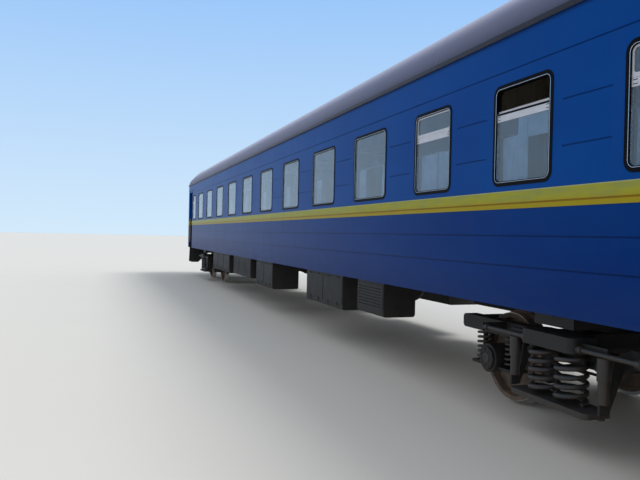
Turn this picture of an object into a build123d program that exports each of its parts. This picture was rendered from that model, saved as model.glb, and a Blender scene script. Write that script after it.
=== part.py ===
from build123d import *
from math import ceil, cos, radians, sin
import os

# A four-axle sleeping coach for a 1520 mm railway, millimetres.
# X runs along the coach, Y across it, Z up. The origin is under the middle of the coach,
# on the plane that the wheel flanges touch. The compartments are on the -Y side.

# Whole coach
BODY_LENGTH = 25500
COUPLER_REACH = 598
BODY_WIDTH = 3020
BOGIE_INSET = 3250
FLANGE_DEPTH = 28
RAIL_Z = FLANGE_DEPTH
SEAT_GAP = 0.3

# Heights over the rail head, as levels in the model
SILL_Z = RAIL_Z + 1110
FLOOR_Z = RAIL_Z + 1380
EAVE_Z = RAIL_Z + 3637
CEILING_Z = RAIL_Z + 3560
COUPLER_Z = RAIL_Z + 1060
DOOR_TOP_Z = RAIL_Z + 3345

# Body shell
WALL_T = 65
ROOF_T = 60
GUTTER_OUT = 24
GUTTER_H = 40
GUTTER_BITE = 20
SHOULDER_R = 580
SHOULDER_DEG = 68
ROOF_TOP_Z = RAIL_Z + 4398
ROOF_END_LENGTH = 1150
ROOF_END_DROP = 250
DROP_SHARE = 0.5

# Roof ventilators along the crown, and the heater's flue beside them.
# The windows that they stand over are counted from the -X end.
VENT_WINDOWS = (0, 2, 4, 6, 8, 10, 12)
VENT_SINK = 60
VENT_FOOT_R = 150
VENT_FOOT_T = 14
VENT_PIPE_R = 92
VENT_PIPE_TOP = 90
VENT_HOOD_R = 180
VENT_HOOD_LOW = 135
VENT_HOOD_HIGH = 165
VENT_NECK_R = 120
VENT_CAP_LOW = 190
VENT_CAP_R = 145
VENT_TOP = 235
FLUE_WINDOW = 12
FLUE_Y = 520
FLUE_SINK = 180
FLUE_R = 75
FLUE_H = 190
FLUE_CAP_R = 110
FLUE_CAP_T = 25
FLUE_TOP = 240

# Pressed grooves and the waist band of the side walls
GROOVE_H = 14
GROOVE_DEPTH = 6
LONG_GROOVES = (RAIL_Z + 3298, RAIL_Z + 1762, RAIL_Z + 1484)
SHORT_GROOVES = (RAIL_Z + 2892, RAIL_Z + 2508)
BAND_LOW_Z = RAIL_Z + 2018
BAND_HIGH_Z = RAIL_Z + 2184
BAND_OUT = 5
BAND_GROOVE_Z = RAIL_Z + 2060
GROOVE_MARGIN = 120

# Windows
WINDOW_LOW_Z = RAIL_Z + 2233
WINDOW_HIGH_Z = RAIL_Z + 3190
WIDE_W = 1120
NARROW_W = 840
WINDOW_R = 95
SEAL_LIP = 12
SEAL_BAND = 34
SEAL_OUT = 5
SEAL_DEEP = 48
GLASS_T = 24
GLASS_BACK = 8
BAR_LOW_Z = RAIL_Z + 2847
BAR_H = 83
BAR_GROOVE_H = 6
BAR_GROOVE_DEPTH = 4
BAR_GROOVE_DOWN = 16
VENT_FRAME_W = 16
VENT_FRAME_T = 20
VENT_R = 32
VENT_TILT = 70
VENT_PANE_BACK = 4
VENT_PANE_IN = 8

# Room plan: a washroom at the -X end, then the compartments, then the service rooms
COMPARTMENTS = 9
WASHROOM = 1180
WASHROOM_WINDOW = 520
SERVICE_ROOM = 1610
SERVICE_ROOMS = 3
OPEN_VENT_ROOM = 1
PARTITION_T = 40
CORRIDOR_WALL_Y = 530
ROOM_DOOR_W = 640
ROOM_DOOR_H = 1950

# Vestibules and side doors
DOOR_BAY = 1100
CORNER_POST = 220
DOOR_RECESS = 120
DOOR_T = 50
DOOR_CLEAR = 8
LINTEL_H = 70
DOOR_WINDOW_W = 430
DOOR_WINDOW_H = 800
DOOR_WINDOW_LOW = 860
DOOR_WINDOW_R = 80
DOOR_OVERLAP = 12
GRIP_X = 60
GRIP_W = 22
GRIP_R = 10
GRIP_BELOW = 90
GRIP_ABOVE = 40
GRIP_OUT = 28
STEP_WELL_D = 580
WELL_STRIP = 65
FLAP_T = 30
FLAP_GAP = 8
LUG_GAP = 2
HINGE_PIN_R = 8
FINE_PIN_R = 5
PIN_CLEAR = 0.5
PIN_DEEP = 36
PIN_SHORT = 4
HINGE_LUG_T = 22
HINGE_LUG_W = 40
END_DOOR_W = 760
END_DOOR_H = 1960
END_DOOR_T = 40
END_WINDOW_W = 420
END_WINDOW_H = 560
END_WINDOW_MID = 1450
END_CORNER_R = 58
BULKHEAD_T = 50
BULKHEAD_DOOR_W = 700

# Floor and underframe
FLOOR_T = 80
CEILING_T = 20
SILL_W = 120
SILL_WEB = 14
BEARERS = 19
BEARER_END = 1950
BEARER_W = 90
BEARER_H = 120
BODY_BOLSTER_W = 500
DRAFT_IN_Y = 165
DRAFT_W = 20
DRAFT_LOW_Z = RAIL_Z + 912
DRAFT_GEAR_L = 600
DRAFT_GEAR_BACK = 250
DRAFT_GEAR_H = 230
BUFFER_BEAM_Y = 1400
JACK_PAD_L = 240
JACK_PAD_W = 110
JACK_PAD_T = 20
WELL_WEB = 12
WELL_WEB_LOW_Z = RAIL_Z + 972

# Steps, treads listed from the lowest
STEP_RISES = (560, 830, 1110)
STEP_GOING = 190
TREAD_LAP = 60
TREAD_T = 25
TREAD_INSET = 25
TREAD_SLOTS = 5
TREAD_SLOT_W = 18
TREAD_SLOT_PITCH = 38
TREAD_NOSE = 32
TREAD_SLOT_END = 60
STEP_PLATE_T = 10
STEP_PLATE_HIGH = 150
STEP_PLATE_LOW = 120

# Rooms
BERTH_W = 590
BERTH_BOARD_T = 30
LOWER_BERTH_Z = 350
UPPER_BERTH_Z = 1560
CUSHION_T = 95
CUSHION_INSET = 12
TABLE_W = 520
TABLE_D = 620
TABLE_T = 26
TABLE_Z = 720
TABLE_LEG_W = 30
TABLE_LEG_D = 440
TABLE_R = 60
ROD_Z = RAIL_Z + 2712
ROD_R = 6
ROD_OUT = 32
CURTAIN_LOW_Z = WINDOW_LOW_Z - 30
CURTAIN_T = 30
CURTAIN_W = 250

# Ends
HEAD_H = 380
SHANK_W = 130
SHANK_H = 150
HEAD_BACK = 330
HEAD_R = 12
BUFFER_Y = 890
BUFFER_REACH = 65
BUFFER_BASE = 141
BUFFER_BASE_T = 22
BUFFER_BARREL_R = 92
BUFFER_BARREL_L = 420
BUFFER_PLUNGER_R = 74
BUFFER_HEAD_R = 225
BUFFER_HEAD_H = 165
BUFFER_HEAD_T = 40
PORTAL_D = 330
PORTAL_Y = 815
PORTAL_BAND = 250
PORTAL_TOP_Z = RAIL_Z + 3600
PORTAL_DROP = 90
PORTAL_SILL = 32
PORTAL_R = 60
TUBE_REACH = 20
BRIDGE_T = 12
BRIDGE_GAP = 20
BRIDGE_SHORT = 20
LAMP_Y = 1180
LAMP_Z = RAIL_Z + 3290
LAMP_R = 62
LAMP_D = 48
LAMP_EDGE_R = 12

# Release gear of the coupler, on the end wall
RELEASE_OFF = 70
RELEASE_UP = 77
RELEASE_R = 11
RELEASE_BEND = 35
RELEASE_IN_Y = 120
RELEASE_OUT_Y = 1330
RELEASE_ARM = 170
RELEASE_HANDLE = 220
RELEASE_LUGS = (60, -520, -1250)
RELEASE_LUG_T = 14
RELEASE_LUG_H = 50

# Under the floor, along the coach in bearer bays from the middle
# From, to, side of the coach, depth across, bottom over the rail, louvred or with lids
HUNG_BOXES = (
    (-5.75, -3.5, -1, 620, 560, False),
    (-3.0, -1.25, -1, 520, 600, True),
    (-0.75, 0.5, -1, 600, 520, False),
    (2.5, 4.0, -1, 620, 560, False),
    (4.5, 5.25, -1, 480, 640, True),
    (-5.75, -4.25, 1, 520, 600, False),
    (-3.5, -1.5, 1, 620, 560, False),
    (-1.0, 0.75, 1, 560, 560, True),
    (1.75, 3.5, 1, 620, 540, False),
    (4.0, 5.5, 1, 500, 620, False),
)
BOX_INSET = 62
BOX_R = 40
LID_W = 900
LID_EDGE = 45
LID_OUT = 6
LID_R = 25
LID_FITTING_SHARE = 0.25
LID_HINGE_R = 9
LID_HINGE_L = 80
LID_LATCH_W = 36
LID_LATCH_H = 60
LID_LATCH_OUT = 14
LOUVRES = 7
LOUVRE_H = 16
LOUVRE_PITCH = 42
LOUVRE_DEEP = 14
LOUVRE_R = 5
# Bay that the tank hangs in the middle of, centre Y, radius and length
AIR_TANKS = (
    (-4.5, -340, 200, 1500),
    (1.5, 360, 170, 1450),
    (3.5, -300, 230, 1600),
)
STRAP_W = 50
STRAP_T = 20
TANK_DOME_SHARE = 0.4

# Brake cylinder, its levers and rods, and the pipes, all under the bearers
CYLINDER_BAY = -1.5
CYLINDER_R = 178
CYLINDER_L = 480
CYLINDER_FLANGE = 22
CYLINDER_FLANGE_T = 25
CYLINDER_PLATE_T = 16
CYLINDER_PLATE_Y = 230
SADDLE_H = 30
SADDLE_W = 60
SADDLE_Y = 120
PISTON_R = 30
PISTON_OUT = 120
LEVER_W = 80
LEVER_T = 20
LEVER_SPAN = 600
LEVER_TIE_Y = 290
LEVER_PIN_R = 14
FORK_R = 32
FORK_L = 90
FORK_T = 60
FORK_SLOT = 48
PULL_R = 16
PULL_END_GAP = 140
GUIDE_W = 60
GUIDE_T = 16
PULL_GUIDES = (-6, -4, 0, 2, 4, 6)
# Distance from the middle of the coach and radius
PIPES = ((-650, 21), (700, 30))

# Handrails
RAIL_R = 15
RAIL_OFF = 35
RAIL_IN = 40
RAIL_LOW = -40
RAIL_HIGH = 892
RAIL_FOOT = 40
RAIL_FOOT_R = 12
END_RAIL_Y = 1400
END_RAIL_OFF = 50
END_RAIL_R = 12
GRIP_BEND = 28
END_RAIL_LOW = 90
END_RAIL_HIGH = 890

# Rungs up each end wall, on the corridor side
RUNGS = 6
RUNG_Y = 1180
RUNG_W = 320
RUNG_R = 9
RUNG_OFF = 55
RUNG_LOW = 60
RUNG_PITCH = 300

# Bogie
WHEELBASE = 2400
WHEEL_R = 475
BACK_TO_BACK = 1440
TYRE_W = 130
AXLE_R = 86
WHEEL_SEAT_R = 97
JOURNAL_R = 65
AXLE_LENGTH = 2294
AXLE_STEP = 22
HUB_R = 150
HUB_L = 176
HUB_PROUD = 8
WEB_T = 45
WEB_DISH = 25
RIM_T = 70
RIM_CHAMFER = 15
TREAD_R = 20
TREAD_CONE = 2.5
FLANGE_W = 35
FRAME_Y = 1018
FRAME_W = 150
FRAME_TOP_Z = RAIL_Z + 880
FRAME_H = 150
FRAME_DIP = 90
FRAME_R = 45
FRAME_PAST_HANGER = 40
DIP_INNER_X = 450
DIP_OUTER_X = 640
CROSS_BEAM_X = 400
CROSS_BEAM_W = 160
END_BEAM_W = 100
BEAM_INSET = 12
BOLSTER_W = 360
BOLSTER_H = 130
BOLSTER_GAP = 12
BOLSTER_HALF_Y = 1420
BOLSTER_WING_X = 330
BOLSTER_WING_R = 60
CENTRE_PLATE_R = 180
CENTRE_PLATE_H = 40
PIVOT_R = 45
PIVOT_CLEAR = 0.5
PIVOT_DEEP = 100
BEARER_PAD_X = 150
BEARER_PAD_Y = 762
BEARER_PAD_W = 160
SIDE_BEARER_Z = RAIL_Z + 985

# Springs and links
SPRING_Y = 1262
SPRING_X = 170
SPRING_D = 290
SPRING_WIRE = 42
SPRING_TURNS = 5.5
GROUND_SHARE = 0.3
PAN_LOW_Z = RAIL_Z + 302
PAN_T = 50
PAN_X = 490
PAN_W = 285
PAN_R = 50
LINK_X = 430
LINK_Y = 1190
LINK_R = 22
LINK_NUT_R = 36
LINK_NUT_H = 28
LINK_LUG_Z = 60
DAMPER_X = 560
DAMPER_Y = 1290
DAMPER_R = 45
DAMPER_SHROUD_R = 54
DAMPER_FOOT_Z = RAIL_Z + 442
DAMPER_LUG_T = 40
DAMPER_TUBE_SHARE = 0.6
DAMPER_SHROUD_SHARE = 0.45
ARM_DROP = 30
TIE_Y = 1345
TIE_R = 22
TIE_X = 980
TIE_BUSH_R = 32
TIE_BUSH_L = 50

# Axle boxes
BOX_IN_Y = 918
BOX_OUT_Y = 1158
AXLE_BOX_R = 150
BOX_COVER_R = 118
BOX_COVER_T = 24
GUARD_R = 82
GUARD_Y = 945
GUARD_TAPER = 10
BEARING_CLEAR = 0.6
WING_X = 250
WING_REACH = 355
WING_LOW_Z = RAIL_Z + 372
WING_T = 30
POST_R = 28
POST_BELOW = 35
BOX_SPRING_D = 184
BOX_SPRING_WIRE = 28
BOX_SPRING_TURNS = 6
WING_SPARE = 5

# Brakes
SHOE_GAP = 8
SHOE_T = 60
SHOE_BACK_T = 32
SHOE_W = 80
SHOE_Y = 790
SHOE_DEG = 18
HANGER_R = 14
HANGER_X = 550
BRAKE_BEAM_R = 20
BRAKE_BEAM_X = 572
HANGER_BRACKET_T = 50
BRAKE_LEVER_W = 60
BRAKE_LEVER_T = 24
BRAKE_LEVER_UP = 180
BRAKE_LEVER_DOWN = 205
BRAKE_STRUT_R = 16
BRAKE_STRUT_DROP = 180

# Worked-out places
HALF_L = BODY_LENGTH / 2
HALF_W = BODY_WIDTH / 2
WALL_IN = HALF_W - WALL_T
BAY_X = HALF_L - DOOR_BAY
POST_X = HALF_L - CORNER_POST
LEAF_OUT_Y = HALF_W - DOOR_RECESS
LEAF_IN_Y = LEAF_OUT_Y - DOOR_T
WELL_IN_Y = LEAF_IN_Y - STEP_WELL_D
AXLE_Z = RAIL_Z + WHEEL_R
WELL_END_X = POST_X - WELL_STRIP
FLOOR_LOW_Z = FLOOR_Z - FLOOR_T - SEAT_GAP
BEARER_LOW_Z = FLOOR_LOW_Z - BEARER_H
UNDER_BEARER_Z = BEARER_LOW_Z - SEAT_GAP
BODY_BOLSTER_Z = SIDE_BEARER_Z + SEAT_GAP
LINE_X = HALF_L + COUPLER_REACH
ROOMS_X = WASHROOM - BAY_X
SERVICE_X = BAY_X - SERVICE_ROOMS * SERVICE_ROOM
COMPARTMENT = (SERVICE_X - ROOMS_X) / COMPARTMENTS
BEARER_PITCH = (BODY_LENGTH - 2 * BEARER_END) / (BEARERS - 1)
DRAFT_GEAR_X = HALF_L - DRAFT_GEAR_BACK
DOOR_HINGE_X = POST_X - DOOR_CLEAR - DOOR_T / 2
DOOR_HINGE_Y = LEAF_IN_Y + DOOR_T / 2
END_HINGE_X = HALF_L - WALL_T + END_DOOR_T / 2
END_HINGE_Y = END_DOOR_W / 2 - DOOR_CLEAR - END_DOOR_T / 2
FLAP_HINGE_X = BAY_X + FLAP_GAP + FLAP_T / 2
FLAP_HINGE_Z = FLOOR_Z - FLAP_T / 2
BRIDGE_HINGE_X = HALF_L + BRIDGE_GAP + BRIDGE_T
BRIDGE_HINGE_Z = FLOOR_Z - BRIDGE_T / 2
FRAME_LOW_Z = FRAME_TOP_Z - FRAME_H
BOLSTER_LOW_Z = FRAME_TOP_Z - FRAME_DIP + BOLSTER_GAP
BOLSTER_TOP_Z = BOLSTER_LOW_Z + BOLSTER_H
PIVOT_X = HALF_L - BOGIE_INSET
BOLSTER_FACE = BODY_BOLSTER_W / 2 + SEAT_GAP
CYLINDER_X = CYLINDER_BAY * BEARER_PITCH
CYLINDER_Z = UNDER_BEARER_Z - CYLINDER_PLATE_T - SADDLE_H - CYLINDER_R
FRAME_HALF = WHEELBASE / 2 + HANGER_X + FRAME_PAST_HANGER
ENDS = (-1, 1)
SIDES = (-1, 1)


def block(x0, x1, y0, y1, z0, z1):
    low = (min(x0, x1), min(y0, y1), min(z0, z1))
    size = (abs(x1 - x0), abs(y1 - y0), abs(z1 - z0))
    return Pos(*(low[i] + size[i] / 2 for i in range(3))) * Box(*size)


def rod(start, end, radius):
    line = Vector(*end) - Vector(*start)
    return extrude(Plane(origin=start, z_dir=line) * Circle(radius), line.length)


def bent_bar(points, radius, bend):
    """A round bar along straight runs, with a bend between each two."""
    path = FilletPolyline(*points, radius=bend)
    return sweep(Plane(origin=path @ 0, z_dir=path % 0) * Circle(radius), path=path)


def across(sketch, y0, y1):
    """A sketch drawn in X and Z, made solid from y0 to y1."""
    flat = Plane(origin=(0, max(y0, y1), 0), x_dir=(1, 0, 0), z_dir=(0, -1, 0)) * sketch
    return extrude(flat, abs(y1 - y0))


def along(sketch, x0, x1):
    """A sketch drawn in Y and Z, made solid from x0 to x1."""
    flat = Plane(origin=(min(x0, x1), 0, 0), x_dir=(0, 1, 0), z_dir=(1, 0, 0)) * sketch
    return extrude(flat, abs(x1 - x0))


def rounded(x, low, high, width, radius):
    """A window-shaped sketch in X and Z."""
    return Pos(x, (low + high) / 2) * RectangleRounded(width, high - low, radius)


def mirrored(shape, plane):
    return mirror(shape, about=plane)


def save(name, solids):
    parts = []
    for item in solids if isinstance(solids, (list, tuple)) else [solids]:
        parts.extend(item.solids())
    whole = Compound(children=parts) if len(parts) > 1 else parts[0]
    export_step(whole, f"parts/{name}.step")


def service_middle(n):
    return SERVICE_X + (n + 0.5) * SERVICE_ROOM


def window_table():
    """Rows of centre X, width and whether the window has a vent."""
    rows = [(WASHROOM_WINDOW - BAY_X, NARROW_W, True)]
    for n in range(COMPARTMENTS):
        rows.append((ROOMS_X + (n + 0.5) * COMPARTMENT, WIDE_W, False))
    for n in range(SERVICE_ROOMS):
        rows.append((service_middle(n), NARROW_W, True))
    return rows


# Body shell

def side_wall():
    """The wall on the +Y side; the other is its mirror image."""
    outline = Polyline(
        (-BAY_X, SILL_Z), (BAY_X, SILL_Z), (BAY_X, DOOR_TOP_Z), (POST_X, DOOR_TOP_Z),
        (POST_X, EAVE_Z), (-POST_X, EAVE_Z), (-POST_X, DOOR_TOP_Z), (-BAY_X, DOOR_TOP_Z),
        close=True)
    wall = across(make_face(outline), WALL_IN, HALF_W)
    wall += block(-BAY_X, BAY_X, HALF_W, HALF_W + BAND_OUT, BAND_LOW_Z, BAND_HIGH_Z)
    cuts = []
    for x, width, _ in window_table():
        hole = rounded(x, WINDOW_LOW_Z + SEAL_LIP, WINDOW_HIGH_Z - SEAL_LIP,
                       width - 2 * SEAL_LIP, WINDOW_R - SEAL_LIP)
        cuts.append(across(hole, WALL_IN - 1, HALF_W + 1))
    floor_y = HALF_W - GROOVE_DEPTH
    for z in LONG_GROOVES:
        reach = POST_X if z > DOOR_TOP_Z else BAY_X
        cuts.append(block(-reach, reach, floor_y, HALF_W + 1, z, z + GROOVE_H))
    cuts.append(block(-BAY_X, BAY_X, HALF_W, HALF_W + BAND_OUT + 1,
                      BAND_GROOVE_Z, BAND_GROOVE_Z + GROOVE_H))
    table = window_table()
    for left, right in zip(table, table[1:]):
        x0 = left[0] + left[1] / 2 + GROOVE_MARGIN
        x1 = right[0] - right[1] / 2 - GROOVE_MARGIN
        for z in SHORT_GROOVES:
            cuts.append(block(x0, x1, floor_y, HALF_W + 1, z, z + GROOVE_H))
    return wall - cuts


def window_seals():
    """Black rubber rings, each with a lip on the wall's face and a body in its hole."""
    rings = []
    for x, width, _ in window_table():
        lip = rounded(x, WINDOW_LOW_Z, WINDOW_HIGH_Z, width, WINDOW_R)
        inset = SEAL_LIP + SEAT_GAP
        body = rounded(x, WINDOW_LOW_Z + inset, WINDOW_HIGH_Z - inset,
                       width - 2 * inset, WINDOW_R - inset)
        edge = SEAL_LIP + SEAL_BAND
        sight = rounded(x, WINDOW_LOW_Z + edge, WINDOW_HIGH_Z - edge,
                        width - 2 * edge, WINDOW_R - edge)
        ring = across(lip, HALF_W, HALF_W + SEAL_OUT)
        ring += across(body, HALF_W - SEAL_DEEP, HALF_W)
        rings.append(ring - across(sight, HALF_W - SEAL_DEEP - 1, HALF_W + SEAL_OUT + 1))
    return rings


def window_sight(x, width):
    edge = SEAL_LIP + SEAL_BAND + SEAT_GAP
    low, high = WINDOW_LOW_Z + edge, WINDOW_HIGH_Z - edge
    return rounded(x, low, high, width - 2 * edge, WINDOW_R - edge), low, high


def window_glass():
    """Fixed panes, and under each vent a lower pane that ends at the bar."""
    panes = []
    outer = HALF_W - GLASS_BACK
    for x, width, vented in window_table():
        sight, low, _ = window_sight(x, width)
        pane = across(sight, outer - GLASS_T, outer)
        if vented:
            keep = block(x - width, x + width, 0, HALF_W, low - 1, BAR_LOW_Z - SEAT_GAP)
            pane = pane & keep
        panes.append(pane)
    return panes


def vent_parts(tilted_at=None):
    """The bar across each narrow window, with the vent's frame and its pane over it."""
    frames, panes = [], []
    outer = HALF_W - GLASS_BACK
    for x, width, vented in window_table():
        if not vented:
            continue
        sight, _, high = window_sight(x, width)
        slab = across(sight, outer - GLASS_T, outer)
        bar_high = BAR_LOW_Z + BAR_H
        bar = slab & block(x - width, x + width, 0, HALF_W, BAR_LOW_Z, bar_high)
        groove_high = bar_high - BAR_GROOVE_DOWN
        frames.append(bar - block(x - width, x + width, outer - BAR_GROOVE_DEPTH, outer + 1,
                                  groove_high - BAR_GROOVE_H, groove_high))
        vent_low = bar_high + SEAT_GAP
        above = block(x - width, x + width, 0, HALF_W, vent_low, high)
        leaf = across(sight, outer - VENT_FRAME_T, outer) & above
        inner = rounded(x, vent_low + VENT_FRAME_W, high - VENT_FRAME_W,
                        width - 2 * (SEAL_LIP + SEAL_BAND + VENT_FRAME_W), VENT_R)
        ring = leaf - across(inner, outer - GLASS_T, outer + 1)
        pane_size = rounded(x, vent_low + VENT_FRAME_W + SEAT_GAP,
                            high - VENT_FRAME_W - SEAT_GAP,
                            width - 2 * (SEAL_LIP + SEAL_BAND + VENT_FRAME_W + SEAT_GAP),
                            VENT_R - SEAT_GAP)
        pane = across(pane_size, outer - VENT_FRAME_T + VENT_PANE_BACK, outer - VENT_PANE_IN)
        if tilted_at is not None and abs(x - tilted_at) < 1:
            hinge = Axis((x, outer - VENT_FRAME_T, vent_low), (1, 0, 0))
            ring = ring.rotate(hinge, VENT_TILT)
            pane = pane.rotate(hinge, VENT_TILT)
        frames.append(ring)
        panes.append(pane)
    return frames, panes


def roof_arcs(drop, inset, edge_z):
    """The roof's outline in Y and Z: a wide crown arc between two round shoulders."""
    r = SHOULDER_R - inset
    lower = SHOULDER_DEG
    base = HALF_W - inset
    centre_y = HALF_W - SHOULDER_R
    joint_y = centre_y + r * cos(radians(lower))
    squash = 1 - DROP_SHARE * drop / SHOULDER_R
    joint_z = edge_z + r * sin(radians(lower)) * squash
    mid_y = centre_y + r * cos(radians(lower / 2))
    mid_z = edge_z + r * sin(radians(lower / 2)) * squash
    crown_z = ROOF_TOP_Z - drop - inset
    right = ThreePointArc((base, edge_z), (mid_y, mid_z), (joint_y, joint_z))
    crown = ThreePointArc((joint_y, joint_z), (0, crown_z), (-joint_y, joint_z))
    left = ThreePointArc((-joint_y, joint_z), (-mid_y, mid_z), (-base, edge_z))
    return right + crown + left, base


def roof_section(drop, inset, x):
    edge_z = EAVE_Z + SEAT_GAP
    arcs, base = roof_arcs(drop, inset, edge_z)
    face = make_face(arcs + Line((-base, edge_z), (base, edge_z)))
    return Plane(origin=(x, 0, 0), x_dir=(0, 1, 0), z_dir=(1, 0, 0)) * face


def roof_shell():
    """The long arched roof, open below, with a gutter along each eave."""
    x = HALF_L - ROOF_END_LENGTH
    outer = extrude(roof_section(0, 0, -x), 2 * x)
    inner = extrude(roof_section(0, ROOF_T, -x), 2 * x)
    shell = outer - inner
    for side in SIDES:
        y0 = side * (HALF_W - GUTTER_BITE)
        y1 = side * (HALF_W + GUTTER_OUT)
        shell += block(-x, x, y0, y1, EAVE_Z + SEAT_GAP, EAVE_Z + GUTTER_H)
    return shell


def on_roof(x, y, profile):
    """A turned piece, its profile in radius and height, seated on the roof at x and y."""
    reach = VENT_FOOT_R + VENT_SINK
    piece = Pos(x, y, 0) * revolve(Plane.XZ * make_face(profile), Axis.Z)
    roof = extrude(roof_section(0, 0, x - reach), 2 * reach)
    return piece - Pos(0, 0, SEAT_GAP) * roof


def roof_vents():
    """A row of hooded ventilators over every second room, and the capped flue."""
    top = ROOF_TOP_Z
    table = window_table()
    # Columns: radius, height over the crown
    outline = [(0, -VENT_SINK), (VENT_FOOT_R, -VENT_SINK), (VENT_FOOT_R, VENT_FOOT_T),
               (VENT_PIPE_R, VENT_FOOT_T), (VENT_PIPE_R, VENT_PIPE_TOP),
               (VENT_HOOD_R, VENT_HOOD_LOW), (VENT_HOOD_R, VENT_HOOD_HIGH),
               (VENT_NECK_R, VENT_HOOD_HIGH), (VENT_NECK_R, VENT_CAP_LOW),
               (VENT_CAP_R, VENT_CAP_LOW), (0, VENT_TOP)]
    vents = [on_roof(table[n][0], 0, Polyline([(r, top + h) for r, h in outline], close=True))
             for n in VENT_WINDOWS]
    flue = [(0, -FLUE_SINK), (FLUE_R, -FLUE_SINK), (FLUE_R, FLUE_H), (FLUE_CAP_R, FLUE_H),
            (FLUE_CAP_R, FLUE_H + FLUE_CAP_T), (0, FLUE_TOP)]
    vents.append(on_roof(table[FLUE_WINDOW][0], FLUE_Y,
                         Polyline([(r, top + h) for r, h in flue], close=True)))
    return vents


def roof_end(end):
    """The roof over a vestibule, which slopes down towards the end wall."""
    x0 = HALF_L - ROOF_END_LENGTH + SEAT_GAP
    outer = loft([roof_section(0, 0, x0), roof_section(ROOF_END_DROP, 0, HALF_L)])
    inner = loft([roof_section(0, ROOF_T, x0 - 1),
                  roof_section(ROOF_END_DROP, ROOF_T, HALF_L - WALL_T)])
    shell = outer - inner
    for side in SIDES:
        y0 = side * (HALF_W - GUTTER_BITE)
        y1 = side * (HALF_W + GUTTER_OUT)
        shell += block(x0, HALF_L, y0, y1, EAVE_Z + SEAT_GAP, EAVE_Z + GUTTER_H)
    return shell if end > 0 else mirrored(shell, Plane.YZ)


def end_wall(end):
    """The end wall with its doorway, the corner posts and the side doors' pivot pins."""
    inner = HALF_L - WALL_T
    plate = block(inner, HALF_L, -HALF_W, HALF_W, SILL_Z, EAVE_Z)
    wall = fillet(plate.edges().filter_by(Axis.Z).group_by(Axis.X)[-1], END_CORNER_R)
    pivot_y0, pivot_y1 = DOOR_HINGE_Y - HINGE_LUG_W / 2, DOOR_HINGE_Y + HINGE_LUG_W / 2
    leaf_top = DOOR_TOP_Z + DOOR_OVERLAP
    lug_x = DOOR_HINGE_X - HINGE_LUG_W / 2
    for side in SIDES:
        wall += block(POST_X + SEAT_GAP, inner + 1, side * LEAF_IN_Y, side * HALF_W,
                      SILL_Z, EAVE_Z)
        wall += block(BAY_X + DOOR_CLEAR, POST_X + 1, side * (LEAF_OUT_Y + DOOR_CLEAR),
                      side * (WALL_IN - SEAT_GAP), DOOR_TOP_Z, DOOR_TOP_Z + LINTEL_H)
        y0, y1, y = side * pivot_y0, side * pivot_y1, side * DOOR_HINGE_Y
        wall += block(lug_x, POST_X + 1, y0, y1, FLOOR_Z - HINGE_LUG_T, FLOOR_Z)
        wall += rod((DOOR_HINGE_X, y, FLOOR_Z - 1),
                    (DOOR_HINGE_X, y, FLOOR_Z + DOOR_CLEAR + PIN_DEEP - PIN_SHORT), HINGE_PIN_R)
        lug_z = leaf_top + DOOR_CLEAR
        wall += block(lug_x, POST_X + 1, y0, y1, lug_z, lug_z + HINGE_LUG_T)
        wall += rod((DOOR_HINGE_X, y, lug_z + 1),
                    (DOOR_HINGE_X, y, leaf_top - PIN_DEEP + PIN_SHORT), HINGE_PIN_R)
    wall -= block(inner - 1, HALF_L + 1, -END_DOOR_W / 2, END_DOOR_W / 2,
                  FLOOR_Z, FLOOR_Z + END_DOOR_H)
    wall -= block(inner - 1, HALF_L + 1, -DRAFT_IN_Y, DRAFT_IN_Y, SILL_Z - 1, BEARER_LOW_Z)
    for z0, z1 in ((FLOOR_Z - 1, FLOOR_Z + DOOR_CLEAR + PIN_DEEP - PIN_SHORT),
                   (FLOOR_Z + END_DOOR_H + 1, FLOOR_Z + END_DOOR_H - DOOR_CLEAR - PIN_DEEP + PIN_SHORT)):
        wall += rod((END_HINGE_X, END_HINGE_Y, z0), (END_HINGE_X, END_HINGE_Y, z1), HINGE_PIN_R)
    return wall if end > 0 else mirrored(wall, Plane.YZ)


# Floor and underframe

def floor_panels():
    """The coach floor, and the narrower floor of each vestibule between its step wells."""
    low = FLOOR_Z - FLOOR_T
    panels = [block(-BAY_X, BAY_X, -WALL_IN + SEAT_GAP, WALL_IN - SEAT_GAP, low, FLOOR_Z)]
    lug_y = LEAF_IN_Y - LUG_GAP
    for end in ENDS:
        panel = block(end * (BAY_X + SEAT_GAP), end * (HALF_L - WALL_T - SEAT_GAP),
                      -WELL_IN_Y, WELL_IN_Y, low, FLOOR_Z)
        x = end * FLAP_HINGE_X
        for side in SIDES:
            panel += rod((x, side * (WELL_IN_Y - 1), FLAP_HINGE_Z),
                         (x, side * (WELL_IN_Y + PIN_DEEP), FLAP_HINGE_Z), FINE_PIN_R)
            lug = block(end * (BAY_X - 1), end * (FLAP_HINGE_X + FLAP_T / 2), side * lug_y,
                        side * (lug_y + FLAP_T / 2), FLOOR_Z - FLAP_T, FLOOR_Z - 1)
            lug += rod((x, side * (lug_y + 1), FLAP_HINGE_Z),
                       (x, side * (LEAF_IN_Y - PIN_DEEP), FLAP_HINGE_Z), FINE_PIN_R)
            panels[0] += lug
        panels.append(panel)
    return panels


def channel(width, height, web):
    """A rolled channel's section, its open side towards +X of the sketch."""
    hollow = Pos(web, 0) * Rectangle(width, height - 2 * web)
    return Rectangle(width, height) - hollow


def side_sill(side):
    height = FLOOR_LOW_Z - SILL_Z
    place = Pos(WALL_IN - SEAT_GAP - SILL_W / 2, SILL_Z + height / 2) * Rot(0, 0, 180)
    sill = along(place * channel(SILL_W, height, SILL_WEB), -BAY_X, BAY_X)
    return sill if side > 0 else mirrored(sill, Plane.XZ)


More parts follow.
